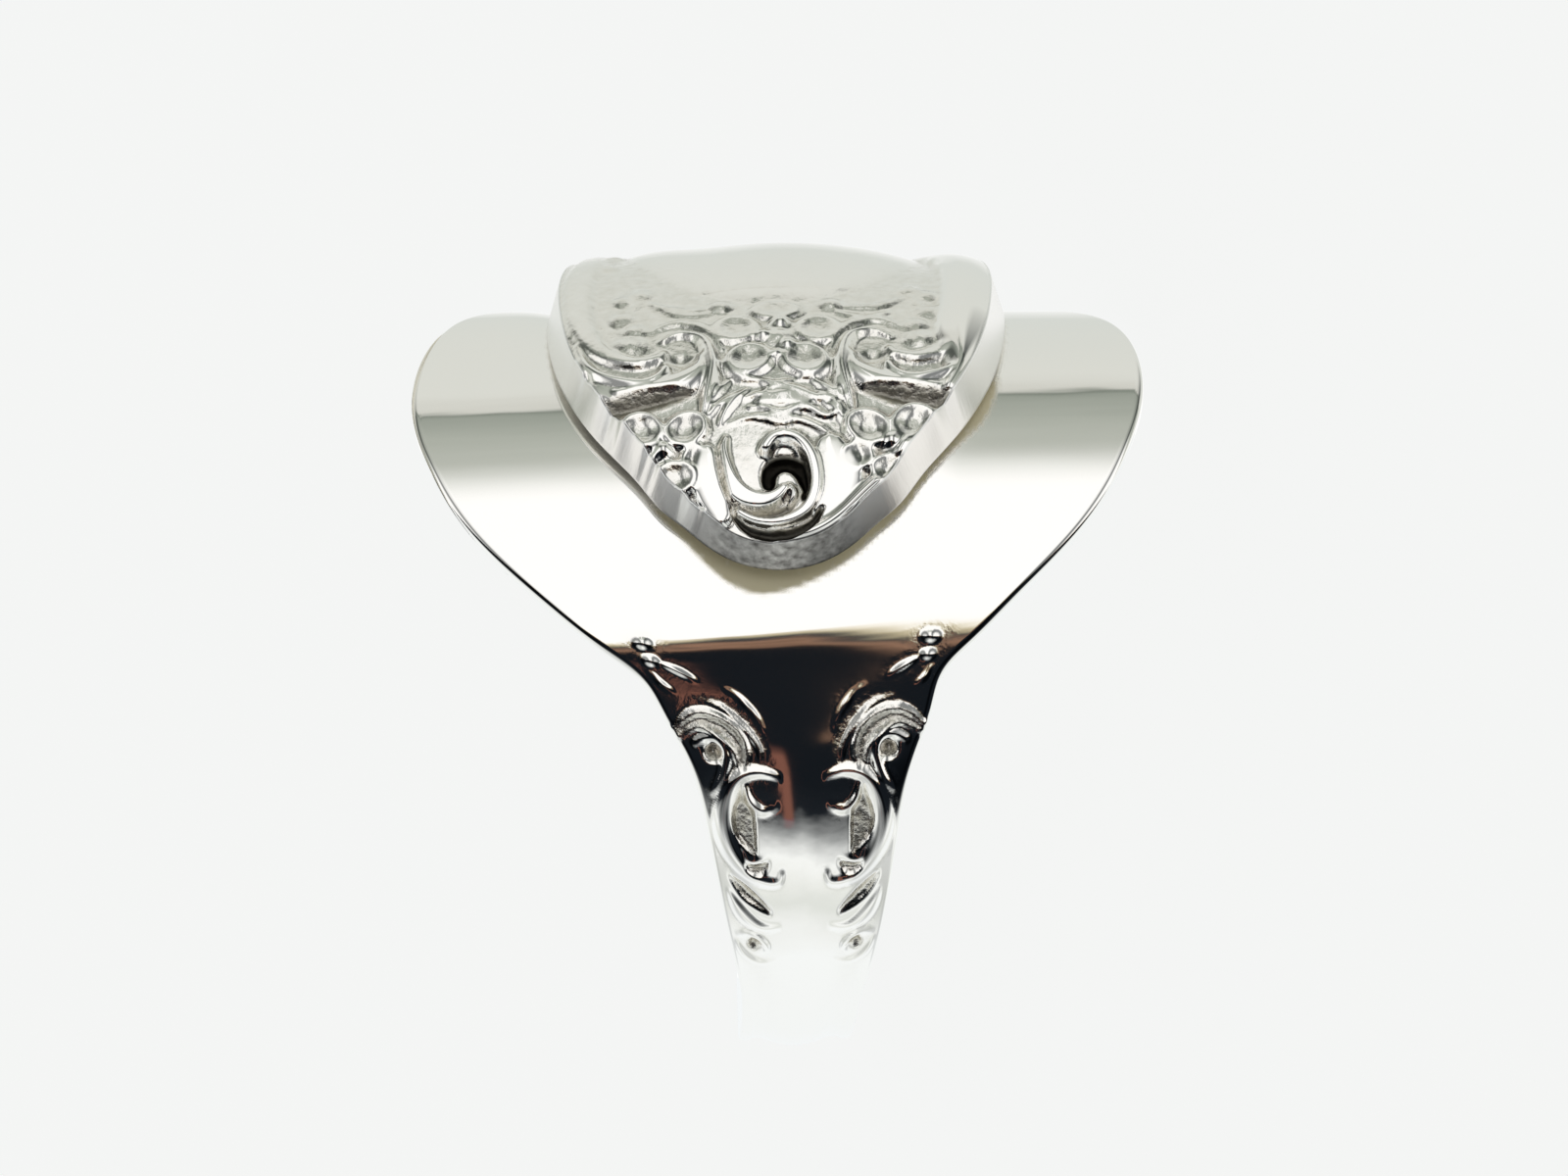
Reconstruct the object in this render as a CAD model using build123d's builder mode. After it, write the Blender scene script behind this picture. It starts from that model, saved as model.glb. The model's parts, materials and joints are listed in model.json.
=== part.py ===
from build123d import *
import math
import os

# A spoon bent round into a finger ring. Lengths are in millimetres and angles in degrees.
# The ring is drawn upright first: the finger's axis is X, the front faces -Y and the top is +Z.
# An angle is measured round the finger from the front, rising over the top, so the top is 90,
# the back is 180 and the bottom is 270. It is laid on its side at the end, as it rests by itself.

# Finger hole and thickness of the metal
finger_radius = 9.0
bowl_thickness = 1.05
stem_thickness = 1.95
lap_gap = 0.35
rim_height = 1.05
crown_height = 0.25
bowl_crown = 0.12
dome_height = 0.42

# Widths across the finger's axis
bowl_width = 20.0
neck_width = 7.3
stem_width = 3.2
climb_width = 5.6
terminal_width = 12.7
border_width = 0.95
rib_width = 1.9
reed_rim = 0.3

# Places round the finger, as angles
neck_angle = -3.0
bowl_span = 108.0
tip_angle = 13.4
terminal_span = 114.0
climb_span = 58.0
neck_span = 66.0
cartouche_angle = 90.0
cartouche_span = 56.0

# Edges, hollows and relief
rim_inset = 0.36
bowl_edge = 0.38
field_depth = 0.26
reed_depth = 0.22
cord_radius = 0.3
petal_height = 0.3
cartouche_width = 8.6
cartouche_edge = 0.3

# How far blocks that cut or trim reach past the metal, and what the finger hole is reamed out by
reach = 1.0
ream = 0.25

# Steps along an edge and in a search when the ring is laid down, and the limits of its two searches
EDGE_STEPS = 24
SEARCH_STEPS = 12
SEARCH_ROUNDS = 5
LEANS = (0, 45)
DIPPING_SIDES = (180, 300)

# Shares that shape the stem's section, the beads that end a scroll and the boss inside a flower
REED_RIM_DROP = 0.6
RIM_CHAMFER = 0.03
RIM_SLOPE = 0.25
PLAIN_RIB = 0.7
END_BEAD = 1.25
HEART_SIZE = 0.8
HEART_RISE = 1.3

PETALS = 5

# The bowl's outline from the neck to its tip: share of its span, share of its half width
BOWL_OUTLINE = [
    (0.00, 0.36),
    (0.05, 0.50),
    (0.11, 0.63),
    (0.165, 0.745),
    (0.22, 0.83),
    (0.28, 0.90),
    (0.35, 0.955),
    (0.42, 0.99),
    (0.51, 1.00),
    (0.62, 0.965),
    (0.73, 0.87),
    (0.84, 0.70),
    (0.94, 0.43),
    (1.00, 0.00),
]

# The terminal's outline from its widest place down to the tip at the front: share of its span from the
# tip, share of its half width
SHIELD_FRONT = [
    (0.54, 0.99),
    (0.46, 1.00),
    (0.34, 0.95),
    (0.25, 0.87),
    (0.20, 0.785),
    (0.13, 0.605),
    (0.095, 0.51),
    (0.056, 0.385),
    (0.020, 0.235),
    (0.00, 0.00),
]

# The same outline from the back end to the widest place
SHIELD_BACK = [
    (1.00, 0.42),
    (0.88, 0.56),
    (0.78, 0.74),
    (0.68, 0.89),
    (0.60, 0.965),
    (0.54, 0.99),
]

# Rows of the outline that the sunk field keeps: it stops short of the back end, where the stem comes up
FIELD_BACK = SHIELD_BACK[2:]

# The neck from inside the bowl down the front to the plain stem: share of the way, share of the neck's
# width over the stem's, share of the full height, share of the reeds' depth, fall of the shoulders
NECK_SECTIONS = [
    (0.00, 1.00, 0.42, 0.1, 0.00),
    (0.12, 0.98, 0.57, 0.1, 0.01),
    (0.23, 0.74, 0.80, 0.1, 0.05),
    (0.35, 0.52, 0.93, 0.1, 0.10),
    (0.50, 0.37, 0.99, 0.1, 0.12),
    (0.70, 0.20, 1.00, 0.6, 0.06),
    (1.00, 0.00, 1.00, 1.0, 0.00),
]
BOWL_END = NECK_SECTIONS[1][0]

# The climb from the stem up over the bowl's end: share of the climb, of the rise, of the widening and
# of the reeds' depth
CLIMB_SECTIONS = [
    (0.00, 0.00, 0.00, 1.0),
    (0.20, 0.07, 0.10, 1.0),
    (0.40, 0.27, 0.32, 1.0),
    (0.60, 0.58, 0.62, 0.8),
    (0.80, 1.00, 1.00, 0.1),
    (1.00, 0.82, 1.05, 0.1),
]
CLIMB_CREST = CLIMB_SECTIONS[4][0]

# Flowers on the terminal: share of its span, share of its half width, petal circle and petal size as
# shares of its width, turn of the first petal
FLOWERS = [
    (0.315, 0.00, 0.078, 0.056, 90),
    (0.141, 0.43, 0.044, 0.035, 70),
    (0.141, -0.43, 0.044, 0.035, 110),
]

# Scroll cords on the terminal: share of its span, share of its half width, radius as a share of its
# width, thickness over the cord's, start of the arc, sweep of the arc, and whether it has a twin
TERMINAL_SCROLLS = [
    (0.267, 0.60, 0.162, 1.00, 105, 120, True),
    (0.278, 0.60, 0.062, 0.85, 120, 220, True),
    (0.112, 0.02, 0.118, 1.20, 120, 290, False),
    (0.116, 0.06, 0.056, 1.10, 200, 200, False),
    (0.400, 0.38, 0.060, 0.60, 200, 140, True),
    (0.205, 0.30, 0.070, 0.60, 10, 150, True),
]

# Small beads on the terminal: share of its span, share of its half width, size over the cord's
TERMINAL_BEADS = [
    (0.425, 0.74, 0.95),
    (0.385, 0.80, 0.80),
    (0.330, 0.78, 0.95),
    (0.195, 0.10, 0.80),
]

# Scroll cords on the neck, each with a twin: angle below the front, share of the neck's half width,
# radius as a share of its width, thickness over the cord's, start and sweep of the arc
NECK_SCROLLS = [
    (12.4, 0.63, 0.062, 0.60, 60, 250),
    (12.4, 0.63, 0.160, 0.60, 95, 140),
    (17.8, 0.22, 0.075, 0.70, -140, 280),
    (25.0, 0.22, 0.200, 0.75, -85, 125),
    (29.0, 0.42, 0.120, 0.60, -165, 100),
    (35.5, 0.50, 0.105, 0.60, -165, 100),
    (43.5, 0.52, 0.055, 0.60, 120, 250),
]

bowl_outer = finger_radius + bowl_thickness
lap_inner = bowl_outer + lap_gap
rim_outer = lap_inner + rim_height
crown_outer = rim_outer + crown_height
dome_outer = crown_outer + dome_height
stem_outer = finger_radius + stem_thickness
neck_start = neck_angle + neck_span * BOWL_END
neck_end = neck_start - neck_span
terminal_end = tip_angle + terminal_span
climb_foot = terminal_end + climb_span * CLIMB_CREST
climb_top = crown_outer + RIM_CHAMFER * 2
beyond = dome_outer + reach


def ray(angle):
    """Direction from the finger's axis at an angle round it."""
    turn = math.radians(angle)
    return Vector(0, -math.cos(turn), math.sin(turn))


def seat(angle, across, radius):
    """Plane lying on the ring at a place, facing away from the finger, with its Y axis up the ring."""
    out = ray(angle)
    return Plane(origin=out * radius + Vector(across, 0, 0), x_dir=(1, 0, 0), z_dir=out)


def placed(rows, start, span, half):
    """Rows of shares turned into (angle, half width) rows."""
    return [(start + span * along, half * across) for along, across in rows]


def narrowed(rows, inset, radius):
    """Outline rows moved in by an inset, square to the outline; ends on the axis stay on it."""
    per_degree = math.radians(radius)
    moved = []
    for index, (angle, half) in enumerate(rows):
        before = rows[max(index - 1, 0)]
        after = rows[index + 1] if index + 1 < len(rows) else None
        if after is None:
            after = (before[0], -before[1]) if half == 0 else rows[index]
        along = (after[0] - before[0]) * per_degree
        across = after[1] - before[1]
        length = math.hypot(along, across)
        angle_in = angle - inset * across / length / per_degree
        half_in = half + inset * along / length
        at_end = half > 0 and index in (0, len(rows) - 1)
        moved.append((angle if at_end else angle_in, half_in if half > 0 else 0.0))
    return moved


def walled_block(low, high, low_radius, high_radius):
    """Block with straight walls from the low outline at one radius through the high outline at another,
    each outline given from a square end to a tip on the axis or to another square end."""
    middle = (low[0][0] + low[-1][0]) / 2
    spread = math.cos(math.radians(low[0][0] - middle))
    has_tip = low[-1][1] == 0
    with BuildPart() as block:
        for distance in ((low_radius - reach / 2) * spread, beyond + reach):
            side = []
            for (low_angle, low_half), (high_angle, high_half) in zip(low, high):
                low_turn = math.radians(low_angle - middle)
                high_turn = math.radians(high_angle - middle)
                low_out = low_radius * math.cos(low_turn)
                high_out = high_radius * math.cos(high_turn)
                low_up = low_radius * math.sin(low_turn)
                high_up = high_radius * math.sin(high_turn)
                share = (distance - low_out) / (high_out - low_out)
                across = low_half + (high_half - low_half) * share
                side.append((across, low_up + (high_up - low_up) * share))
            other = [(-across, up) for across, up in reversed(side)]
            with BuildSketch(seat(middle, 0, distance)):
                with BuildLine():
                    if has_tip:
                        Spline(*side, *other[1:])
                    else:
                        Spline(*side)
                        Line(side[-1], other[0])
                        Spline(*other)
                    Line(other[-1], side[0])
                make_face()
        loft(ruled=True)
    return block.part


def shell(inside, outside, half):
    """Ring of metal round the finger. Its inner and outer surfaces each have a height at the edge and
    another in the middle, and are crowned by an arc across the ring where the two differ."""
    with BuildPart() as ring:
        with BuildSketch(Plane.XY):
            with BuildLine():
                Line((half, -inside[0]), (half, -outside[0]))
                Line((-half, -inside[0]), (-half, -outside[0]))
                for edge, middle in (inside, outside):
                    if edge == middle:
                        Line((-half, -edge), (half, -edge))
                    else:
                        ThreePointArc((-half, -edge), (0, -middle), (half, -edge))
            make_face()
        revolve(axis=Axis.X, revolution_arc=360)
    return ring.part


def stem_section(angle, half, inner, top, reeds, fall):
    """Cross section of the stem: a rounded rib between two panels, with a rim at each side."""
    depth = reed_depth * reeds
    rim = top - depth * REED_RIM_DROP - fall - RIM_CHAMFER
    panel = top - depth - fall - RIM_CHAMFER
    rib = rib_width / 2 * reeds + half * PLAIN_RIB * (1 - reeds)
    flat = half - reed_rim
    slope = flat - reed_rim * RIM_SLOPE
    with BuildSketch(Plane(origin=(0, 0, 0), x_dir=(1, 0, 0), z_dir=ray(angle - 90))) as section:
        with BuildLine():
            Polyline(
                (rib, panel),
                (slope, panel),
                (flat, rim),
                (half, rim - RIM_CHAMFER),
                (half, inner),
                (-half, inner),
                (-half, rim - RIM_CHAMFER),
                (-flat, rim),
                (-slope, panel),
                (-rib, panel),
            )
            ThreePointArc((-rib, panel), (0, top), (rib, panel))
        make_face()
    return section.sketch.face()


def widened(share, broad):
    """Half width that lies a share of the way from the stem's to a broader one."""
    return (stem_width + (broad - stem_width) * share) / 2


def away(edge):
    """Distance of an edge's middle from the finger's axis."""
    return math.hypot((edge @ 0.5).Y, (edge @ 0.5).Z)


def scroll(where, radius, thickness, start, sweep):
    """Round cord bent into an arc that lies half sunk on the metal, with a bead at each end."""
    with BuildPart() as cord:
        with Locations(where):
            Torus(radius, thickness, major_angle=sweep, rotation=(0, 0, start), align=None)
            with PolarLocations(radius, 2, start_angle=start, angular_range=sweep, endpoint=True):
                Sphere(thickness * END_BEAD)
    return cord.part


def boss(where, radius, height):
    """Low round boss: a ball sunk so that it stands out by a height over a circle of a radius."""
    ball = (radius**2 + height**2) / (2 * height)
    with BuildPart() as bump:
        with Locations(where.offset(height - ball)):
            Sphere(ball)
        with Locations(where.offset(-ball - reach / 2)):
            Box(3 * ball, 3 * ball, 2 * ball, mode=Mode.SUBTRACT)
    return bump.part


def field_radius(across):
    """Height of the terminal's sunk field over the finger's axis."""
    return crown_outer - crown_height * (2 * across / terminal_width) ** 2 - field_depth


def neck_values(angle):
    """Half width, height of the rib and fall of the shoulders at an angle on the neck."""
    along = min(max((neck_start - angle) / neck_span, 0.0), 1.0)
    for low, high in zip(NECK_SECTIONS, NECK_SECTIONS[1:]):
        if low[0] <= along <= high[0]:
            share = (along - low[0]) / (high[0] - low[0])
            wide, tall, reeds, fall = (a + (b - a) * share for a, b in zip(low[1:], high[1:]))
    half = widened(wide, neck_width)
    return half, finger_radius + stem_thickness * tall, stem_thickness * fall


with BuildPart() as bowl:
    half = bowl_width / 2
    add(shell((finger_radius, finger_radius), (bowl_outer - bowl_crown, bowl_outer), half + reach))
    outline = placed(BOWL_OUTLINE, neck_angle, bowl_span, half)
    add(walled_block(outline, outline, finger_radius, beyond), mode=Mode.INTERSECT)
    round_edges = bowl.edges().filter_by(lambda edge: edge.length > bowl_width).sort_by(away)
    fillet(round_edges[-1], bowl_edge)

with BuildPart() as neck:
    sections = []
    for along, wide, high, reeds, fall in NECK_SECTIONS:
        half = widened(wide, neck_width)
        top = finger_radius + stem_thickness * high
        drop = stem_thickness * fall
        sections.append(
            stem_section(neck_start - neck_span * along, half, finger_radius - ream, top, reeds, drop)
        )
    loft(sections)

with BuildPart() as stem:
    add(stem_section(neck_end, stem_width / 2, finger_radius - ream, stem_outer, 1.0, 0.0))
    revolve(axis=Axis.X, revolution_arc=neck_end + 360 - climb_foot)

with BuildPart() as climb:
    sections = []
    for along, rise, wide, reeds in CLIMB_SECTIONS:
        half = widened(wide, climb_width)
        inner = finger_radius - ream + (lap_inner - finger_radius + ream) * rise
        top = stem_outer + (climb_top - stem_outer) * rise
        sections.append(stem_section(climb_foot - climb_span * along, half, inner, top, reeds, 0.0))
    loft(sections)

with BuildPart() as shield_plan:
    for rows in (SHIELD_FRONT, SHIELD_BACK):
        low = placed(rows, tip_angle, terminal_span, terminal_width / 2)
        add(walled_block(low, narrowed(low, rim_inset, lap_inner), lap_inner, rim_outer))

with BuildPart() as field_plan:
    for rows in (SHIELD_FRONT, FIELD_BACK):
        low = placed(rows, tip_angle, terminal_span, terminal_width / 2)
        inside = narrowed(low, rim_inset + border_width, lap_inner)
        add(walled_block(inside, inside, lap_inner, rim_outer))

with BuildPart() as field:
    floor = (rim_outer - field_depth, crown_outer - field_depth)
    add(shell(floor, (beyond, beyond), terminal_width / 2 + reach))
    add(field_plan.part, mode=Mode.INTERSECT)

with BuildPart() as cartouche_plan:
    for distance in (lap_inner * math.cos(math.radians(cartouche_span / 2)) - reach, beyond):
        up = distance * math.tan(math.radians(cartouche_span / 2))
        with BuildSketch(seat(cartouche_angle, 0, distance)):
            Ellipse(cartouche_width / 2, up)
    loft(ruled=True)

with BuildPart() as cartouche:
    add(shell((lap_inner, lap_inner), (rim_outer, dome_outer), cartouche_width / 2 + reach / 2))
    add(cartouche_plan.part, mode=Mode.INTERSECT)
    fillet(cartouche.edges().sort_by(away)[-1], cartouche_edge)

with BuildPart() as terminal:
    add(shell((lap_inner, lap_inner), (rim_outer, crown_outer), terminal_width / 2 + reach))
    add(shield_plan.part, mode=Mode.INTERSECT)
    add(field.part, mode=Mode.SUBTRACT)
    add(cartouche.part)

with BuildPart() as relief:
    for along, across, circle, size, first in FLOWERS:
        x = across * terminal_width / 2
        where = seat(tip_angle + terminal_span * along, x, field_radius(x))
        add(boss(where, terminal_width * size * HEART_SIZE, petal_height * HEART_RISE))
        for petal in range(PETALS):
            turn = math.radians(first + 360 * petal / PETALS)
            out = Vector(math.cos(turn), math.sin(turn)) * terminal_width * circle
            middle = where.from_local_coords(out)
            spot = Plane(origin=middle, x_dir=where.x_dir, z_dir=where.z_dir)
            add(boss(spot, terminal_width * size, petal_height))
    for along, across, radius, thickness, start, sweep, twin in TERMINAL_SCROLLS:
        x = across * terminal_width / 2
        angle = tip_angle + terminal_span * along
        reel = terminal_width * radius
        add(scroll(seat(angle, x, field_radius(x)), reel, cord_radius * thickness, start, sweep))
        if twin:
            back = 180 - start - sweep
            add(scroll(seat(angle, -x, field_radius(x)), reel, cord_radius * thickness, back, sweep))
    for along, across, size in TERMINAL_BEADS:
        for side in (-1, 1):
            x = side * across * terminal_width / 2
            with Locations(seat(tip_angle + terminal_span * along, x, field_radius(x))):
                Sphere(cord_radius * size)

with BuildPart() as neck_relief:
    for below, across, radius, thickness, start, sweep in NECK_SCROLLS:
        half, top, fall = neck_values(-below)
        height = top - fall * across**2
        for side, begin in ((1, start), (-1, 180 - start - sweep)):
            where = seat(-below, side * across * half, height)
            add(scroll(where, neck_width * radius, cord_radius * thickness, begin, sweep))

with BuildPart() as upright:
    add(neck.part)
    add(stem.part)
    add(climb.part)
    Cylinder(finger_radius, bowl_width + 2 * reach, rotation=(0, 90, 0), mode=Mode.SUBTRACT)
    add(bowl.part)
    add(terminal.part)
    add(neck_relief.part)
    add(relief.part)

# Points of the metal that can meet a floor, measured from the mass centre
centre = upright.part.center(CenterOf.MASS)
corners = []
for piece in (bowl, neck, stem, climb, terminal):
    for edge in piece.edges():
        places = [edge @ (step / EDGE_STEPS) - centre for step in range(EDGE_STEPS + 1)]
        corners += [tuple(place) for place in places if place.X > 0]


def reach_down(lean, toward):
    """Height of the mass centre over a floor, with the finger's axis leaning from upright by an angle
    and the side at another angle round the ring dipping."""
    side = math.cos(math.radians(lean))
    dip = ray(toward) * math.sin(math.radians(lean))
    return max(x * side + y * dip.Y + z * dip.Z for x, y, z in corners)


def lowest(measure, low, high):
    """Value at which a measure is least: the range is stepped through and closed in round the best."""
    for _ in range(SEARCH_ROUNDS):
        step = (high - low) / SEARCH_STEPS
        best = min((low + step * index for index in range(SEARCH_STEPS + 1)), key=measure)
        low, high = best - step, best + step
    return best


def best_lean(toward):
    """Lean at which the mass centre is lowest while one side dips."""
    return lowest(lambda lean: reach_down(lean, toward), *LEANS)


# The ring lies with one wing of the bowl and the side of the stem on the floor
dipping = lowest(lambda toward: reach_down(best_lean(toward), toward), *DIPPING_SIDES)
lean = best_lean(dipping)
up = Vector(-math.cos(math.radians(lean)), 0, 0) - ray(dipping) * math.sin(math.radians(lean))
front = (ray(0) - up * ray(0).dot(up)).normalized()
floor = Plane(origin=centre, x_dir=up.cross(front), z_dir=up)

with BuildPart() as spoon_ring:
    laid = floor.to_local_coords(upright.part)
    box = laid.bounding_box()
    add(laid.moved(Location((-box.center().X, -box.center().Y, -box.min.Z))))

print("lean", lean, "toward", dipping)
print("volume in cubic millimetres", spoon_ring.part.volume)
spoon_ring.part.label = "spoon_ring"
os.makedirs("parts", exist_ok=True)
export_step(spoon_ring.part, "parts/spoon_ring.step")
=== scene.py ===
"""Looks of a finger ring that is a whole small silver spoon bent round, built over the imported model.

A place on the ring is given by an angle round the finger and a distance across. Angles are in degrees
from the front, rising over the top, so the top is 90, the back 180 and the bottom -90. Distances are in
millimetres until RingSeat.place turns them into metres in the row's frame.
"""

import json
import logging
import math
from dataclasses import dataclass, replace
from enum import Enum
from typing import Callable, ClassVar

import bmesh
import bpy
import numpy as np
from mathutils import Matrix, Vector


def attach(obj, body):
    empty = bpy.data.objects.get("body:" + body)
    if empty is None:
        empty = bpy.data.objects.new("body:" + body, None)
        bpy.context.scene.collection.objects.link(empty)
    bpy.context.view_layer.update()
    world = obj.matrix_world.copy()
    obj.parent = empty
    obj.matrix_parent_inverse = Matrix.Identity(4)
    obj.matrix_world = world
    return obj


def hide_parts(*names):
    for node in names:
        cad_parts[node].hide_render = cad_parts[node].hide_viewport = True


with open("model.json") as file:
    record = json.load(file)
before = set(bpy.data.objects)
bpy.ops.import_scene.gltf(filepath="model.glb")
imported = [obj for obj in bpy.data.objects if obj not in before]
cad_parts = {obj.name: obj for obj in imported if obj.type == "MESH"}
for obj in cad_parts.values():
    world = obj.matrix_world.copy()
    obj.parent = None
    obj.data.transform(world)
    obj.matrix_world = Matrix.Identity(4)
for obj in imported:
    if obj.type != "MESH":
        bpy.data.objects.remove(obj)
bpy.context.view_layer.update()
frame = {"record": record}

LOG = logging.getLogger("spoon_ring")
Array = np.ndarray
Place = tuple[float, float]
Table = tuple[tuple[float, float], ...]
MM = 0.001

# Names of the values that the meshes carry for their finishes and for painted light: tarnish in the
# hollows, which is painted shade where it passes 1 and on the handle end's tip wall; dried polish, which
# also stands for the painted reflection of the handle end's wall in the bowl; and the way along the outline
HOLLOW = "hollow"
RESIDUE_AND_REFLECTION = "residue_and_reflection"
ALONG = "along"


def unit(vector: Array) -> Array:
    """Vector of length one in the same direction."""
    vector = np.asarray(vector, float)
    return vector / np.linalg.norm(vector)


def ease(share: Array) -> Array:
    """Smooth rise from 0 to 1: six, fifteen and ten times the fifth, fourth and third powers."""
    share = np.clip(share, 0.0, 1.0)
    return share**3 * (share * (share * 6.0 - 15.0) + 10.0)


def step(value: Array, start: float, end: float) -> Array:
    """Smooth change from 0 at the start to 1 at the end, which may be the lower of the two."""
    return ease((value - start) / (end - start))


def spline(knots: Array, values: Array, where: Array) -> Array:
    """Natural cubic spline through values.

    The bend at each knot solves the usual three-banded system, and between two knots the value is the
    straight line plus the two bends' cubic shares.

    Args:
        knots: Rising places of the values.
        values: One row for each knot.
        where: Places to read the spline at.

    Returns:
        One row for each place.
    """
    gaps = np.diff(knots)
    count = len(knots)
    inner = np.arange(1, count - 1)
    system = np.eye(count)
    system[inner, inner - 1] = gaps[:-1]
    system[inner, inner] = 2.0 * (gaps[:-1] + gaps[1:])
    system[inner, inner + 1] = gaps[1:]
    pull = np.zeros_like(values)
    pull[1:-1] = 6.0 * np.diff(np.diff(values, axis=0) / gaps[:, None], axis=0)
    bend = np.linalg.solve(system, pull)
    span = np.clip(np.searchsorted(knots, where, side="right") - 1, 0, count - 2)
    gap = gaps[span][:, None]
    ahead = (where - knots[span])[:, None] / gap
    behind = 1.0 - ahead
    line = behind * values[span] + ahead * values[span + 1]
    cubic = (behind**3 - behind) * bend[span] + (ahead**3 - ahead) * bend[span + 1]
    return line + cubic * gap**2 / 6.0


def by_angle(table: Table, angle: Array) -> Array:
    """Smooth curve through a table of (angle, value), read at angles and held level past its ends.

    Args:
        table: Rows of angle and value, in any order.
        angle: Angles in degrees.

    Returns:
        One value for each angle.
    """
    knots, values = np.array(sorted(table), float).T
    where = np.clip(angle, knots[0], knots[-1])
    return spline(knots, values[:, None], where.ravel())[:, 0].reshape(np.shape(angle))


class Curve:
    """Smooth curve through points of a plane, read by its length along the chords."""

    def __init__(self, points: Array) -> None:
        """Measures the way along the points.

        Args:
            points: Points that the curve passes through, in order.
        """
        self.points = np.asarray(points, float)
        chords = np.linalg.norm(np.diff(self.points, axis=0), axis=1)
        self.knots = np.concatenate([[0.0], np.cumsum(chords)])
        self.length = self.knots[-1]

    def at(self, distance: Array) -> Array:
        """Points at distances along the chords."""
        return spline(self.knots, self.points, np.asarray(distance, float))


@dataclass(frozen=True)
class RingSeat:
    """Where the ring lies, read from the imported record: its centre and three directions.

    The ring rests so that its front direction has no part along the row's X axis, which with the
    finger's axis gives all three directions.
    """

    centre: Array
    across: Array
    front: Array
    top: Array

    @classmethod
    def from_record(cls, record: dict) -> "RingSeat":
        """Seat of the ring whose finger hole the record states.

        Args:
            record: The row's record, with its finger_hole mount.

        Returns:
            The seat, with its directions worked out from the hole's axis.
        """
        hole = next(mount for mount in record["mounts"] if mount["name"] == "finger_hole")
        axis = unit(hole["axis"])
        front = unit(np.cross([1.0, 0.0, 0.0], axis))
        return cls(np.array(hole["pos_m"]), -axis, front, np.cross(axis, front))

    def place(self, radius: Array, angle: Array, across: Array) -> Array:
        """Points in the row's frame.

        Args:
            radius: Distances from the finger's axis, in millimetres.
            angle: Angles round it, in degrees.
            across: Distances along it, in millimetres.

        Returns:
            Array with a last axis of three, in metres.
        """
        turn = np.radians(angle)
        forward, up = radius * np.cos(turn), radius * np.sin(turn)
        out = forward[..., None] * self.front + up[..., None] * self.top
        return self.centre + (out + np.asarray(across)[..., None] * self.across) * MM


class Section(Enum):
    """Cross section of a line of relief, over its half width t from -1 to 1."""

    ROUND = "round"
    HOLLOW = "hollow"
    BLADE = "blade"
    FLAT = "flat"
    CUT = "cut"

    def shape(self, side: Array) -> Array:
        """Height from 0 to 1 at a signed share of the half width: a round back, a gutter between two
        ridges, a slope with its crest at 0.7, a flat top with soft shoulders, or a plain V.

        Args:
            side: Places across the stroke, from -1 to 1.

        Returns:
            Heights as shares of the stroke's own.
        """
        wide = np.clip(np.abs(side), 0.0, 1.0)
        if self is Section.ROUND:
            return (1.0 - wide**2) ** 0.6
        if self is Section.HOLLOW:
            return (1.0 - wide**8) * (0.3 + 0.7 * wide**2) / 0.59
        if self is Section.BLADE:
            slope = np.clip((side + 1.0) / 1.7, 0.0, 1.0) ** 1.4
            return np.minimum(slope, np.clip((1.0 - side) / 0.3, 0.0, 1.0))
        if self is Section.CUT:
            return 1.0 - wide
        return ease((1.0 - wide) / 0.35)


@dataclass(frozen=True)
class Ground:
    """Surface that marks are laid on: its places across and round the finger, both in millimetres, and
    its heights and tarnish, with painted shade where that passes 1, which each mark changes in place."""

    across: Array
    along: Array
    level: Array
    dull: Array
    per_degree: float

    def spot(self, place: Place) -> Array:
        """A stated place, with its angle turned into millimetres."""
        return np.array([place[0], place[1] * self.per_degree])


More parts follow.
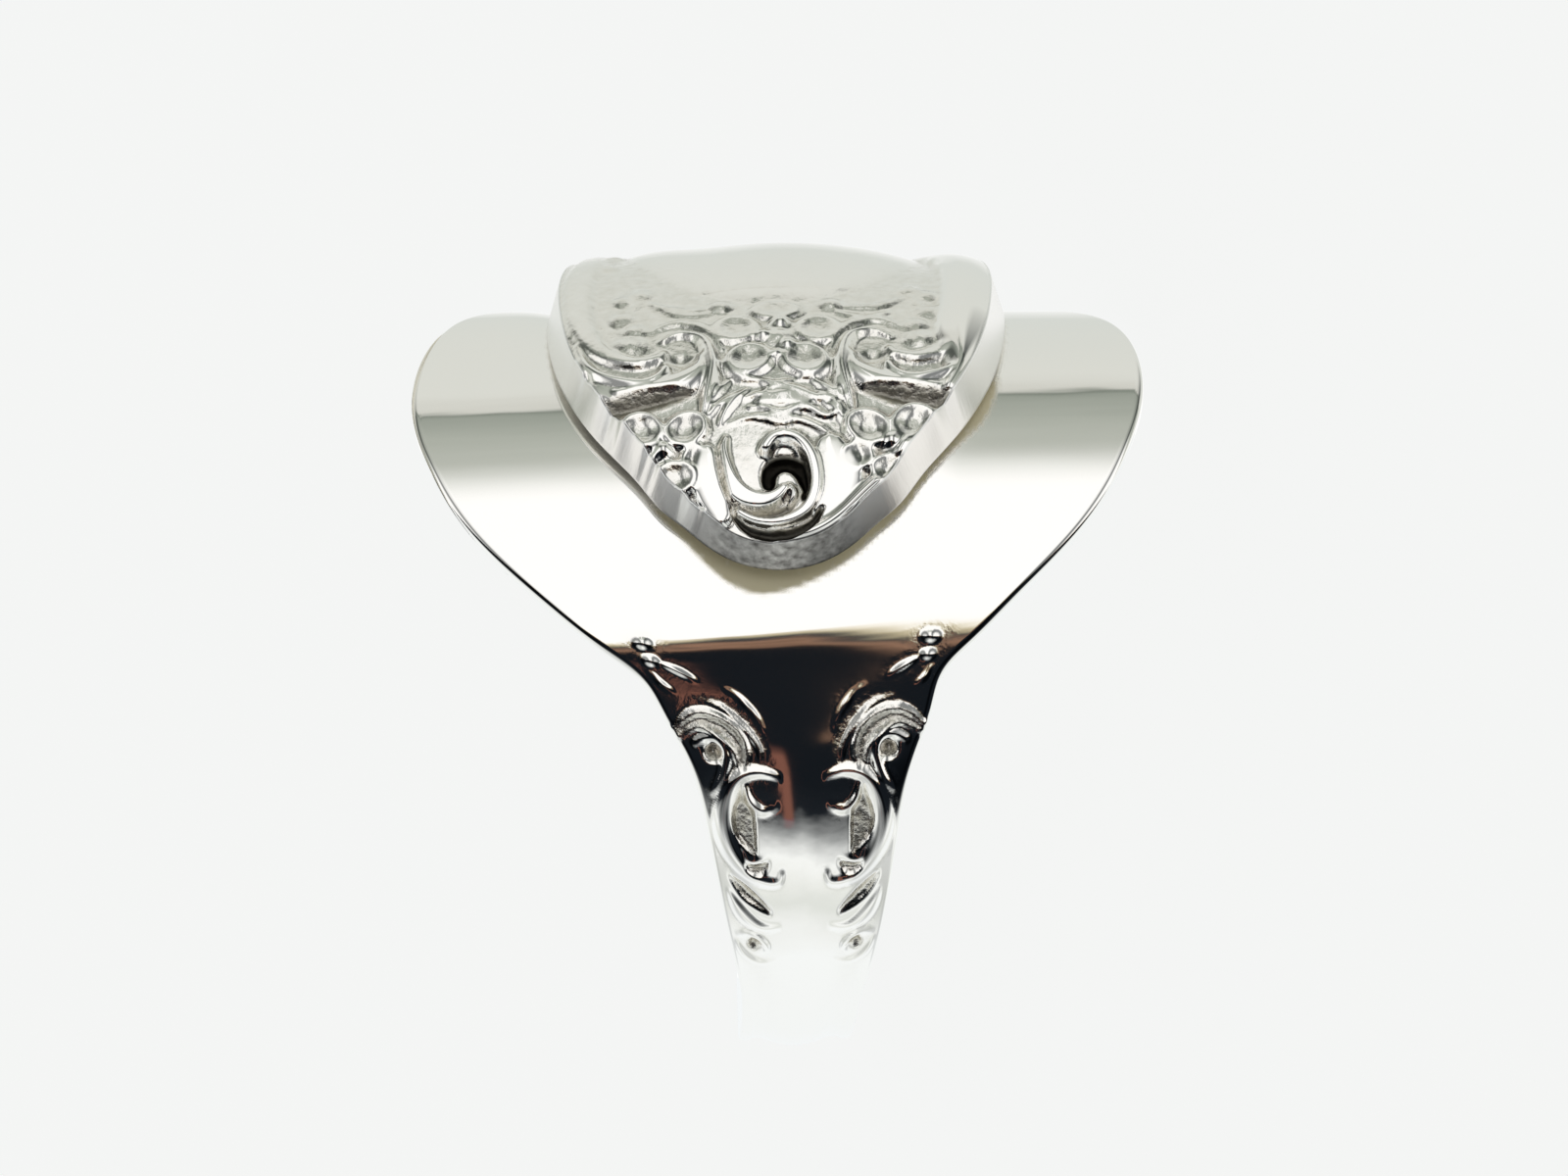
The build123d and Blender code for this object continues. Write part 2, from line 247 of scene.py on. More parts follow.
@dataclass(frozen=True)
class Stroke:
    """Line of relief: a ridge raised over the metal, or a groove where `carved` is set.

    Its height runs from `foot` at the edges to `height` at the section's crest. The width swells from
    the first share of `taper` to the whole at `peak` and falls to the second share. `dull` is how much
    tarnish it holds; past 1 it is painted shade, which turns black in deep pits and notches. A `twin`
    stands on the other side of the middle line.
    """

    places: tuple[Place, ...]
    width: float
    height: float
    section: Section = Section.ROUND
    foot: float = -0.15
    taper: tuple[float, float] = (0.25, 0.25)
    peak: float = 0.5
    twin: bool = True
    carved: bool = False
    dull: float = 0.0

    SAMPLES: ClassVar[int] = 90
    # A narrow part of the line is lower by this power of its share of the width
    LOWER: ClassVar[float] = 0.4
    # The tarnish, and the painted shade past 1, fades out over this share of the half width
    FADE: ClassVar[float] = 0.3

    def lay(self, ground: Ground) -> None:
        """Adds the stroke to a surface.

        The nearest of many samples of its spline gives the distance, the side and the share of the way,
        and the section is read at the distance over the half width there.

        Args:
            ground: Surface that is changed.
        """
        across, along, level, dull = ground.across, ground.along, ground.level, ground.dull
        line = Curve([ground.spot(place) for place in self.places])
        share = np.linspace(0.0, 1.0, self.SAMPLES)
        path = line.at(share * line.length)
        ahead = np.gradient(path, axis=0)
        half = self.width / 2.0
        low, high = path.min(axis=0) - half, path.max(axis=0) + half
        near = (across > low[0]) & (across < high[0]) & (along > low[1]) & (along < high[1])
        if not near.any():
            return
        away = np.stack([across[near], along[near]], axis=1)[:, None, :] - path[None, :, :]
        nearest = np.argmin((away**2).sum(axis=2), axis=1)
        offset = away[np.arange(len(away)), nearest]
        way, at = ahead[nearest], share[nearest]
        rising = np.sin(np.pi / 2 * np.clip(at / self.peak, 0.0, 1.0))
        falling = np.sin(np.pi / 2 * np.clip((1.0 - at) / (1.0 - self.peak), 0.0, 1.0))
        first, last = self.taper
        swell = np.where(at < self.peak, first + (1.0 - first) * rising, last + (1.0 - last) * falling)
        distance = np.linalg.norm(offset, axis=1)
        side = np.sign(way[:, 0] * offset[:, 1] - way[:, 1] * offset[:, 0])
        shape = self.section.shape(side * distance / (half * swell))
        value = self.foot + (self.height - self.foot) * shape * swell**self.LOWER
        inside = distance < half * swell
        keep = np.minimum if self.carved else np.maximum
        level[near] = np.where(inside, keep(level[near], value), level[near])
        tarnish = self.dull * ease((1.0 - distance / (half * swell)) / self.FADE)
        dull[near] = np.where(inside, tarnish, dull[near])


@dataclass(frozen=True)
class Petal:
    """Dished oval: a soft raised edge round a hollow, which points away from `heart`. `stain` is the
    share of its tarnish, which is deepest in the hollow."""

    place: Place
    heart: Place
    length: float
    width: float
    edge: float
    dish: float
    twin: bool = False
    stain: float = 0.6

    # Shares of the way out at which the edge is highest, and inside which the petal hides what was there
    CREST: ClassVar[float] = 0.86
    OWN: ClassVar[float] = 0.92
    # The hollow falls from the first share of the way out to the second
    SINK: ClassVar[tuple[float, float]] = (0.9, 0.18)
    # The outline lies this much under the edge, in millimetres
    DROP: ClassVar[float] = 0.16

    def lay(self, ground: Ground) -> None:
        """Adds the petal to a surface, where it hides what was there but for the outline.

        Args:
            ground: Surface that is changed.
        """
        place, level = ground.spot(self.place), ground.level
        out = unit(place - ground.spot(self.heart))
        offset = np.stack([ground.across - place[0], ground.along - place[1]], axis=-1)
        length = offset @ out / (self.length / 2.0)
        width = offset @ np.array([-out[1], out[0]]) / (self.width / 2.0)
        ring = np.hypot(length, width)
        past = np.maximum(ring - self.CREST, 0.0) / (1.0 - self.CREST)
        crest = np.sqrt(np.clip(1.0 - past**2, 0.0, 1.0))
        value = self.edge - self.DROP * (1.0 - crest) + (self.dish - self.edge) * step(ring, *self.SINK)
        inside = ring < 1.0
        level[inside] = np.where(ring < self.OWN, value, np.maximum(level, value))[inside]
        tarnish = 0.06 + 0.42 * self.stain * step(ring, self.CREST, 0.56)
        ground.dull[inside] = tarnish[inside]


@dataclass(frozen=True)
class Bead:
    """Round boss, or a round pit where its height is under its foot."""

    place: Place
    radius: float
    height: float
    foot: float = -0.15
    twin: bool = True
    dull: float = 0.0

    def lay(self, ground: Ground) -> None:
        """Adds a low round swell to a surface, or digs one.

        Args:
            ground: Surface that is changed.
        """
        place = ground.spot(self.place)
        ring = np.hypot(ground.across - place[0], ground.along - place[1]) / self.radius
        value = self.foot + (self.height - self.foot) * np.clip(1.0 - ring**2, 0.0, 1.0) ** 1.5
        keep = np.maximum if self.height > self.foot else np.minimum
        inside = ring < 1.0
        ground.level[inside] = keep(ground.level, value)[inside]
        ground.dull[inside] = self.dull


Mark = Stroke | Petal | Bead
Marks = tuple[Mark, ...]


def ridge(width: float, height: float, *places: Place, **more) -> Stroke:
    """Raised stroke of a width and a height through places."""
    return Stroke(places, width, height, **more)


def groove(width: float, height: float, *places: Place, foot: float = 0.0, **more) -> Stroke:
    """Carved stroke of a width through places, whose height is that of its floor."""
    return Stroke(places, width, height, foot=foot, carved=True, **more)


def flower(heart: Place, *petals: tuple, stain: float = 0.6) -> tuple[Petal, ...]:
    """Petals round one heart, each given by its place, length, width, edge and dish."""
    return tuple(Petal(place, heart, *sizes, stain=stain) for place, *sizes in petals)


def alone(*marks: Mark) -> Marks:
    """The same marks with no twins on the other side."""
    return tuple(replace(mark, twin=False) for mark in marks)


def relief(marks: Marks, plan_radius: float, across: Array, angle: Array, bare: Array) -> tuple[Array, Array]:
    """Lays marks on a surface in order: each ridge keeps what stands higher, each groove what lies lower.

    Args:
        marks: Ornament, in the order in which it is laid.
        plan_radius: Radius at which angles are turned into millimetres.
        across: Distances across, in millimetres.
        angle: Angles round the finger, in degrees.
        bare: Height of the bare metal there.

    Returns:
        Heights, and tarnish with painted shade where it passes 1, at each place.
    """
    level, dull = bare.copy(), np.zeros(bare.shape)
    per_degree = math.radians(plan_radius)
    for mark in marks:
        for flip in (1.0, -1.0) if mark.twin else (1.0,):
            mark.lay(Ground(across * flip, angle * per_degree, level, dull, per_degree))
    return level, dull


def softened(level: Array, rounds: int) -> Array:
    """Grid smoothed by averaging each value with its neighbours along both axes, again and again.

    Args:
        level: Grid of values.
        rounds: How often every value is averaged.

    Returns:
        Grid of the same shape.
    """
    for _ in range(rounds):
        for axis in (0, 1):
            level = np.moveaxis(level, axis, 0).copy()
            level[1:-1] = (level[:-2] + 2.0 * level[1:-1] + level[2:]) / 4.0
            level = np.moveaxis(level, 0, axis)
    return level


def tarnish_and_shade_of(level: Array, depth: float, dull: Array) -> Array:
    """Tarnish of a relief: how much lower than its surroundings each place of the grid lies, from 0 to 1
    at a depth, or what the marks there hold if that is more, which past 1 is painted shade.

    Args:
        level: Heights of the relief, in millimetres.
        depth: Depth that counts as 1, in millimetres.
        dull: Tarnish that the marks hold, which past 1 is painted shade.

    Returns:
        Tarnish at each place, which past 1 is painted shade.
    """
    wide, soft = 30, 3
    low = np.clip((softened(level, wide) - level) / depth, 0.0, 1.0)
    return np.maximum(low, softened(dull, soft))


def spaced(*stretches: tuple[float, float, float]) -> Array:
    """Places along a line: each stretch is a start, an end and about the step between."""
    parts = [np.linspace(a, b, max(2, round((b - a) / gap) + 1))[:-1] for a, b, gap in stretches]
    return np.concatenate([*parts, [stretches[-1][1]]])


def distance_to(line: Array, across: Array, along: Array) -> Array:
    """Shortest distance of each place from a line of points, in millimetres.

    Args:
        line: Points of the line, as rows of across and along.
        across: Distances of the places across, in millimetres.
        along: Distances of the places along, in millimetres.

    Returns:
        One distance for each place.
    """
    spots = np.stack([across.ravel(), along.ravel()], axis=1)
    chunks = np.array_split(spots, len(spots) // 4000 + 1)
    found = [((chunk[:, None] - line[None]) ** 2).sum(axis=2).min(axis=1) for chunk in chunks]
    return np.sqrt(np.concatenate(found)).reshape(across.shape)


def nothing(place: Array) -> Array:
    """Zero wherever it is: no sideways shift, and no painted shade on the sides."""
    return np.zeros(np.shape(place))


class Outline:
    """Right side of a strip in plan, from its tip on the middle line to its square end.

    The rows of a strip lie at chosen distances along it, and it knows which way is inward there.
    """

    AROUND_TIP: ClassVar[int] = 3
    TRIES: ClassVar[int] = 4000
    NUDGE: ClassVar[float] = 1e-3

    def __init__(self, table: Table, plan_radius: float) -> None:
        """Mirrors the right side round the tip and joins both by a smooth curve.

        Args:
            table: Rows of angle and half width, tip first.
            plan_radius: Radius at which angles are turned into millimetres.
        """
        self.per_degree = math.radians(plan_radius)
        right = np.array([(half, angle * self.per_degree) for angle, half in table])
        left = right[self.AROUND_TIP : 0 : -1] * [-1.0, 1.0]
        self.curve = Curve(np.vstack([left, right]))
        self.start = self.curve.knots[len(left)]
        self.turn = -np.sign(right[-1, 1] - right[0, 1])

    def reach(self, angle: float) -> float:
        """Distance along the outline from the tip to an angle.

        Args:
            angle: Angle in degrees.

        Returns:
            Distance in millimetres.
        """
        tries = np.linspace(self.start, self.curve.length, self.TRIES)
        off = np.abs(self.curve.at(tries)[:, 1] - angle * self.per_degree)
        return float(tries[np.argmin(off)] - self.start)

    def line(self, angle: float, count: int) -> Array:
        """Points evenly along the outline from the tip to an angle."""
        return self.curve.at(np.linspace(self.start, self.start + self.reach(angle), count))

    def rows(self, distances: Array) -> tuple[Array, Array]:
        """Points at distances from the tip, and the inward direction at each.

        Args:
            distances: Distances from the tip, in millimetres, the first of them 0.

        Returns:
            Rows of across and along in millimetres, and unit directions.
        """
        where = distances + self.start
        points = self.curve.at(where)
        way = self.curve.at(where + self.NUDGE) - self.curve.at(where - self.NUDGE)
        way /= np.linalg.norm(way, axis=1)[:, None]
        points[0, 0] = 0.0
        way[0] = (1.0, 0.0)
        return points, self.turn * np.stack([way[:, 1], -way[:, 0]], axis=1)


@dataclass(frozen=True)
class Side:
    """Side of a strip, from its outer face to its inner one, with one value for each row of the strip:
    how far the wall leans in, and the radii that round its outer and inner edges."""

    lean: Array
    outer: Array
    inner: Array

    STEPS: ClassVar[int] = 5
    NEAR_EDGE: ClassVar[float] = 0.07

    def stations(self) -> tuple[Array, Array, Array, Array]:
        """Insets from the outline and drops under the outer face, then insets and rises over the inner.

        Returns:
            Four grids in millimetres, with a row for each station and a column for each row of the strip.
        """
        turn = np.linspace(0.0, np.pi / 2, self.STEPS)[:, None]
        wall = np.full((1, len(self.lean)), self.NEAR_EDGE)
        outer_inset = self.lean + self.outer * (1.0 - np.sin(turn))
        outer_drop = self.outer * (1.0 - np.cos(turn))
        inner_inset = self.inner * (1.0 - np.sin(turn[::-1]))
        inner_rise = self.inner * (1.0 - np.cos(turn[::-1]))
        return (
            np.vstack([outer_inset, self.lean * (1.0 - wall)]),
            np.vstack([outer_drop, self.outer + wall]),
            np.vstack([self.lean * wall, inner_inset]),
            np.vstack([self.inner + wall, inner_rise]),
        )


class Part(Enum):
    """Part of a strip's surface, numbered as its material slots are."""

    FACE = 0
    SIDE = 1
    INSIDE = 2


class Strip:
    """Closed strip of metal bent round the finger: rows across it follow its outline, and each row goes
    over the outer face, round one side, back under the inner face and round the other side."""

    INNER_COLUMNS: ClassVar[int] = 22
    MERGE: ClassVar[float] = 1.5e-7
    SHARP: ClassVar[float] = 80.0

    def __init__(
        self, outline: Outline, distances: Array, columns: int, side: Callable[[Array], Side]
    ) -> None:
        """Works out the rows, the faces and the walls.

        Args:
            outline: Right side of the strip in plan.
            distances: Places of the rows along it.
            columns: Points across the outer face.
            side: Gives the sides' sizes at the rows' angles.
        """
        self.per_degree = outline.per_degree
        self.points, self.inward = outline.rows(distances)
        self.distances = distances
        stations = side(self.points[:, 1] / self.per_degree).stations()
        self.outer_inset, self.outer_drop, self.inner_inset, self.inner_rise = stations
        self.across, self.angle = self._face(self.outer_inset[0], columns)

    def _edge(self, inset: Array, hand: int) -> tuple[Array, Array]:
        """Across and angle of the places that lie in from the outline, on the right (1) or left (-1)."""
        moved = self.points + self.inward * inset[:, None]
        return moved[:, 0] * hand, moved[:, 1] / self.per_degree

    def _face(self, inset: Array, columns: int) -> tuple[Array, Array]:
        """Across and angle of straight rows of points between the two sides at an inset.

        Args:
            inset: How far each row is drawn in from the outline, in millimetres.
            columns: Points in a row.

        Returns:
            Two grids, with a row for each row of the strip.
        """
        across, angle = self._edge(inset, 1)
        share = np.linspace(-1.0, 1.0, columns)
        return across[:, None] * share, np.broadcast_to(angle[:, None], (len(angle), columns))

    def _wall(self, level: Array, inner: Callable[[Array, Array], Array], hand: int) -> tuple[Array, ...]:
        """Across, angle and radius of one side, from the outer face to the inner one.

        Args:
            level: Radius of the outer face, in millimetres.
            inner: Radius of the inner face at places across and angles.
            hand: 1 for the right side, -1 for the left.

        Returns:
            Three grids, with a row for each row of the strip.
        """
        edge = level[:, -1 if hand > 0 else 0]
        outer = [(*self._edge(inset, hand), edge - drop)
                 for inset, drop in zip(self.outer_inset[1:], self.outer_drop[1:])]
        under = [(*self._edge(inset, hand), rise) for inset, rise in zip(self.inner_inset, self.inner_rise)]
        under = [(x, turn, inner(x, turn) + rise) for x, turn, rise in under]
        return tuple(np.stack(each, axis=1) for each in zip(*outer, *under))

    def mesh(
        self,
        name: str,
        seat: RingSeat,
        level: Array,
        inner: Callable[[Array, Array], Array],
        drift: Callable[[Array], Array],
        values: dict[str, Array],
        shaded_side: Callable[[Array], Array],
    ) -> bpy.types.Object:
        """Builds the strip's object.

        Args:
            name: Name of the piece.
            seat: Where the ring lies.
            level: Radius of the outer face at this strip's across and angle.
            inner: Radius of the inner face at places across and angles.
            drift: Sideways shift of the metal at an angle.
            values: What the outer face carries for its finish and its painted light, from 0 to 1, and past
                1 for black painted shade.
            shaded_side: Painted shade of the sides at a distance along the outline.

        Returns:
            The object, closed, with each face's material index set by its Part.
        """
        under_x, under_turn = (
            grid[:, ::-1][:, 1:-1] for grid in self._face(self.inner_inset[-1], self.INNER_COLUMNS)
        )
        stretches = (
            (Part.FACE, (self.across, self.angle, level)),
            (Part.SIDE, self._wall(level, inner, 1)),
            (Part.INSIDE, (under_x, under_turn, inner(under_x, under_turn))),
            (Part.SIDE, tuple(grid[:, ::-1] for grid in self._wall(level, inner, -1))),
        )
        part = np.concatenate([np.full(grids[0].shape[1], kind.value) for kind, grids in stretches])
        columns = zip(*(grids for _, grids in stretches))
        across, angle, radius = (np.concatenate(each, axis=1) for each in columns)
        points = seat.place(radius, angle, across + drift(angle))
        carried = {}
        for key, rows in values.items():
            carried[key] = np.zeros(radius.shape)
            carried[key][:, : rows.shape[1]] = rows
        # The sides carry painted shade in place of the face's tarnish
        carried[HOLLOW][:, part == Part.SIDE.value] = shaded_side(self.distances)[:, None]
        carried[ALONG] = np.broadcast_to(self.distances[:, None], radius.shape)
        return self._object(name, points, part, carried)

    def _object(self, name: str, points: Array, part: Array, carried: dict[str, Array]) -> bpy.types.Object:
        """Object of a grid whose rows close on themselves, drawn to a point at its first row and capped
        with a flat end at its last.

        Args:
            name: Name of the piece.
            points: Grid of places in metres, with a last axis of three.
            part: Part that each column belongs to.
            carried: Grids of values that the points hold, by name.

        Returns:
            The object, linked to the scene.
        """
        rows, loop = points.shape[:2]
        number = np.arange(rows * loop).reshape(rows, loop)
        after = np.roll(number, -1, axis=1)
        quads = np.stack([number[:-1], after[:-1], after[1:], number[1:]], axis=-1).reshape(-1, 4)
        slot = np.where(part == np.roll(part, -1), part, Part.SIDE.value)
        slots = np.broadcast_to(slot, (rows - 1, loop)).ravel()
        cap = np.stack([number[-1], after[-1], np.full(loop, rows * loop)], axis=1)
        everything = np.vstack([points.reshape(-1, 3), points[-1].mean(axis=0)])
        mesh = bpy.data.meshes.new(name)
        mesh.from_pydata(everything.tolist(), [], quads.tolist() + cap.tolist())
        kinds = np.concatenate([slots, np.full(loop, Part.INSIDE.value)])
        mesh.polygons.foreach_set("material_index", kinds.astype(np.int32))
        mesh.polygons.foreach_set("use_smooth", np.arange(len(kinds)) < len(quads))
        for key, grid in carried.items():
            data = mesh.attributes.new(key, "FLOAT", "POINT").data
            data.foreach_set("value", np.append(grid.ravel(), 0.0).astype(np.float32))
        work = bmesh.new()
        work.from_mesh(mesh)
        bmesh.ops.remove_doubles(work, verts=work.verts, dist=self.MERGE)
        bmesh.ops.recalc_face_normals(work, faces=work.faces)
        work.to_mesh(mesh)
        work.free()
        mesh.set_sharp_from_angle(angle=math.radians(self.SHARP))
        piece = bpy.data.objects.new(name, mesh)
        bpy.context.scene.collection.objects.link(piece)
        LOG.info("%s: %d triangles", name, sum(len(face.vertices) - 2 for face in mesh.polygons))
        return piece


@dataclass(frozen=True)
class Reeds:
    """Section of the reeded stem: a rib in the middle falls as a parabola to two panels, and a low rim
    stands up again at each side."""

    rib: float = 0.95
    rim: float = 0.3
    depth: float = 0.25
    rim_share: float = 0.18
    rim_slope: float = 0.08

    def drop(self, across: Array, half: Array) -> Array:
        """How far the face lies under the top of the rib, across a stem of a half width.

        Args:
            across: Distances across, in millimetres.
            half: Half width of the stem there, in millimetres.

        Returns:
            Drops in millimetres.
        """
        wide = np.abs(across)
        foot = half - self.rim
        panel = self.depth * np.clip(wide / self.rib, 0.0, 1.0) ** 2
        return panel - self.rim_share * self.depth * step(wide, foot - self.rim_slope, foot)


@dataclass(frozen=True)
class BowlAndNeck:
    """The bowl, wrapped over the finger's top, and the scrolled neck down to the plain stem."""

    hole_radius: float = 9.0
    bowl_radius: float = 10.05
    bowl_crown: float = 0.12
    half_width: float = 10.0
    neck_top: float = 25.0
    relief_radius: float = 10.75
    reeds: Reeds = Reeds()
    sway: float = 0.4
    left_flare: float = 0.34
    slant: float = 0.0157
    slant_from: float = 4.4
    columns: int = 150

    # Each by angle: half width, radius of the middle line, fall at the neck's edges, and the radii that
    # round the outer and inner edges
    OUTLINE: ClassVar[Table] = (
        (105, 0), (98.5, 4.5), (87.7, 7.15), (75.8, 8.85), (64, 9.62), (54.3, 9.87), (46.3, 9.86), (38, 9.56),
        (34.8, 9.36), (27.2, 8.77), (20.8, 8.04), (14.8, 7.12), (8.9, 6.08), (2.4, 4.85), (-3, 3.88),
        (-8, 3.5), (-13, 3.08), (-18, 2.76), (-25, 2.5), (-38, 2.14), (-56, 1.68), (-66, 1.6), (-85, 1.6),
        (-110, 1.6),
    )
    HEIGHTS: ClassVar[Table] = (
        (30, 10.05), (20, 10.05), (12, 10.05), (4, 10.05), (0, 10.06), (-3, 10.1), (-6, 10.17),
        (-10.3, 10.32), (-14, 10.49), (-18.2, 10.65), (-23, 10.79), (-28, 10.88), (-35, 10.94), (-42, 10.95),
        (-61, 10.95), (-85, 10.95), (-110, 10.95),
    )
    SHOULDERS: ClassVar[Table] = (
        (20, 0), (5, 0), (-3, 0.03), (-10.3, 0.12), (-18.2, 0.22), (-28, 0.25), (-41, 0.15), (-61, 0),
        (-110, 0),
    )
    EDGES: ClassVar[Table] = (
        (105, 0.17), (20, 0.17), (0, 0.22), (-10, 0.2), (-25, 0.14), (-60, 0.12), (-110, 0.12),
    )
    UNDER_EDGES: ClassVar[Table] = (
        (105, 0.58), (24, 0.58), (5, 0.35), (-15, 0.15), (-40, 0.1), (-110, 0.1),
    )
    # Along each side of the neck, from its top: beads, leaves, the volute's hollow back, rim and eye, the
    # long scroll with its matt field, and the leaves and curls under it
    MARKS: ClassVar[Marks] = (
        Bead((3.75, 3.6), 0.36, 0.12, dull=0.1),
        Bead((3.6, 0.9), 0.32, 0.1),
        ridge(0.45, 0.11, (3.45, 1), (2.95, 0.1), (2.4, -2.2), section=Section.BLADE),
        ridge(0.34, 0.08, (3.65, 0), (3.37, -2), (3, -3.8), section=Section.BLADE),
        ridge(0.3, 0.08, (2.11, -3), (1.67, -3.5), (1.24, -5.6), (0.93, -8.5), (0.9, -10.6),
              section=Section.BLADE),
        ridge(0.44, 0.12, (2.6, -4.7), (2, -5.5), (1.51, -7.7), (1.14, -10.4), (0.98, -12.9), (1.05, -15),
              section=Section.BLADE, dull=0.3),
        ridge(0.66, 0.15, (3.1, -9.4), (2.65, -7.9), (2.05, -8.9), (1.63, -11.4), (1.55, -14.9),
              section=Section.HOLLOW, taper=(0.5, 0.4), dull=0.85),
        ridge(0.36, 0.15, (2.75, -11.4), (2.42, -10.4), (2.02, -11.5), (1.95, -13.6), (2.07, -16.2),
              (2.35, -18.6), taper=(0.5, 0.4)),
        Bead((2.3, -12.7), 0.25, -0.35, foot=0.05, dull=0.5),
        ridge(0.64, 0.18, (0.62, -16.2), (1.1, -15.4), (1.7, -16.3), (2.02, -19.2), (2.12, -22.6),
              (1.97, -26.4), (1.6, -29.6), (1.1, -31.6), (0.66, -31.6), (0.58, -30.3), taper=(0.3, 0.35)),
        groove(0.66, -0.24, (1.5, -18.2), (1.54, -21), (1.5, -24.2), (1.28, -27.2), section=Section.FLAT,
               foot=0.05, taper=(0.3, 0.2), dull=1),
        ridge(0.26, 0.15, (1.46, -17.4), (1.38, -19.4), (1.08, -20.8), (0.6, -20), taper=(0.4, 0.2)),
        ridge(0.22, 0.12, (1.6, -27), (1.38, -28.6), (1, -27.9)),
        groove(0.26, -0.25, (1.5, -29.3), (1.18, -29.8), (0.92, -28.7), foot=0.05, dull=0.4),
        groove(0.34, -0.25, (1.95, -31), (1.5, -34), (0.92, -37), foot=0.05, taper=(0.2, 0.3), dull=0.6),
        ridge(0.5, 0.14, (2, -33.4), (1.65, -37.4), (1.1, -39.8), (0.68, -39.6), taper=(0.3, 0.4)),
        ridge(0.28, 0.12, (1.9, -41.4), (1.45, -41), (1.15, -42.2), (1, -44), (1.2, -45)),
        Bead((1.36, -43), 0.2, -0.25, foot=0.05, dull=0.9),
        ridge(0.3, 0.11, (1.85, -42), (1.6, -45.2), (1.1, -47), (0.68, -46.4)),
    )

    def half(self, angle: Array) -> Array:
        """Half width of the neck and stem at an angle."""
        return by_angle(tuple(row for row in self.OUTLINE if row[0] < self.neck_top), angle)

    def drift(self, angle: Array) -> Array:
        """The neck sways a little to one side and comes back at the stem."""
        return self.sway * step(angle, 14.0, -18.0) * step(angle, -102.0, -28.0)

    def flare(self, across: Array, angle: Array) -> Array:
        """The upper left wing of the bowl stands out a little."""
        return self.left_flare * step(across, -4.6, -7.8) * step(angle, 50.0, 82.0)

    def twist(self, across: Array, angle: Array) -> Array:
        """The bowl's left side sinks a little over the front, which slants what it reflects."""
        front = step(angle, 0.0, 14.0) - step(angle, 48.0, 88.0)
        return self.slant * (across - self.slant_from) * front

    def inner(self, across: Array, angle: Array) -> Array:
        """Radius of the finger's hole, with the bowl's flare."""
        return self.hole_radius + self.flare(across, angle)

    def sides(self, angle: Array) -> Side:
        """Sizes of the sides at the rows."""
        upright = np.zeros(angle.shape)
        return Side(upright, by_angle(self.EDGES, angle), by_angle(self.UNDER_EDGES, angle))

    def ground(self, across: Array, angle: Array) -> Array:
        """Radius of the bare metal: a crowned face, rounded shoulders on the neck and reeds on the stem.

        Args:
            across: Distances across, in millimetres.
            angle: Angles round the finger, in degrees.

        Returns:
            Radii in millimetres.
        """
        half = self.half(angle)
        face = by_angle(self.HEIGHTS, angle) - self.bowl_crown * (across / self.half_width) ** 2
        face += self.flare(across, angle) + self.twist(across, angle)
        face -= by_angle(self.SHOULDERS, angle) * np.clip(across / half, -1.2, 1.2) ** 2
        return face - step(angle, -46.0, -62.0) * self.reeds.drop(across, half)

    def residue_and_reflection(self, across: Array, angle: Array) -> Array:
        """Dried polish on the bowl, which also stands for the painted reflection of the handle end's wall in
        the bowl, from 0 to 1: a pool under the handle end's tip and a line that runs up beside it, higher on
        the right, and grows thinner.

        Args:
            across: Distances across, in millimetres.
            angle: Angles round the finger, in degrees.

        Returns:
            Dried polish and painted reflection at each place.
        """
        shield = Outline(StemAndTerminal.OUTLINE, StemAndTerminal.inner_radius)
        edge = shield.line(100.0, 500)
        along = angle * shield.per_degree
        gap = distance_to(edge, np.abs(across), along)
        outside = np.abs(across) > np.interp(along, edge[:, 1], edge[:, 0])
        wander = 0.04 * np.sin(across * 2.3 + 1.0)
        at_tip = 0.21 * step(angle, 25.0, 10.0)
        left_of_tip = 0.34 * np.exp(-((across + 0.85) ** 2)) * step(angle, 22.0, 12.0)
        beside = np.where(across > 0.0, 0.2, 0.04) * np.exp(-(((angle - 40.0) / 6.0) ** 2))
        reach = 0.06 + wander + at_tip + beside + left_of_tip
        near = np.where((along < edge[0, 1]) | outside, step(gap - reach, 0.06, -0.18), 1.0)
        end = np.where(across < 0.0, 22.0, 46.0)
        return near * (1.0 - 0.9 * step(angle - end, 0.0, 5.0))

    def build(self, seat: RingSeat) -> bpy.types.Object:
        """Builds the piece.

        Args:
            seat: Where the ring lies.

        Returns:
            The object.
        """
        outline = Outline(self.OUTLINE, self.bowl_radius)
        neck, plain, end = (outline.reach(angle) for angle in (8.0, -48.0, -110.0))
        distances = spaced((0.0, neck, 0.2), (neck, plain, 0.057), (plain, end, 0.3))
        strip = Strip(outline, distances, self.columns, self.sides)
        across, angle = strip.across, strip.angle
        offset, dull = relief(self.MARKS, self.relief_radius, across, angle, np.zeros(across.shape))
        offset = softened(offset, 2) * (1.0 - 0.3 * step(angle, -15.0, -22.0))
        carried = {HOLLOW: tarnish_and_shade_of(offset, 0.12, dull), RESIDUE_AND_REFLECTION: self.residue_and_reflection(across, angle)}
        level = self.ground(across, angle) + offset
        return strip.mesh("bowl_and_neck", seat, level, self.inner, self.drift, carried, nothing)


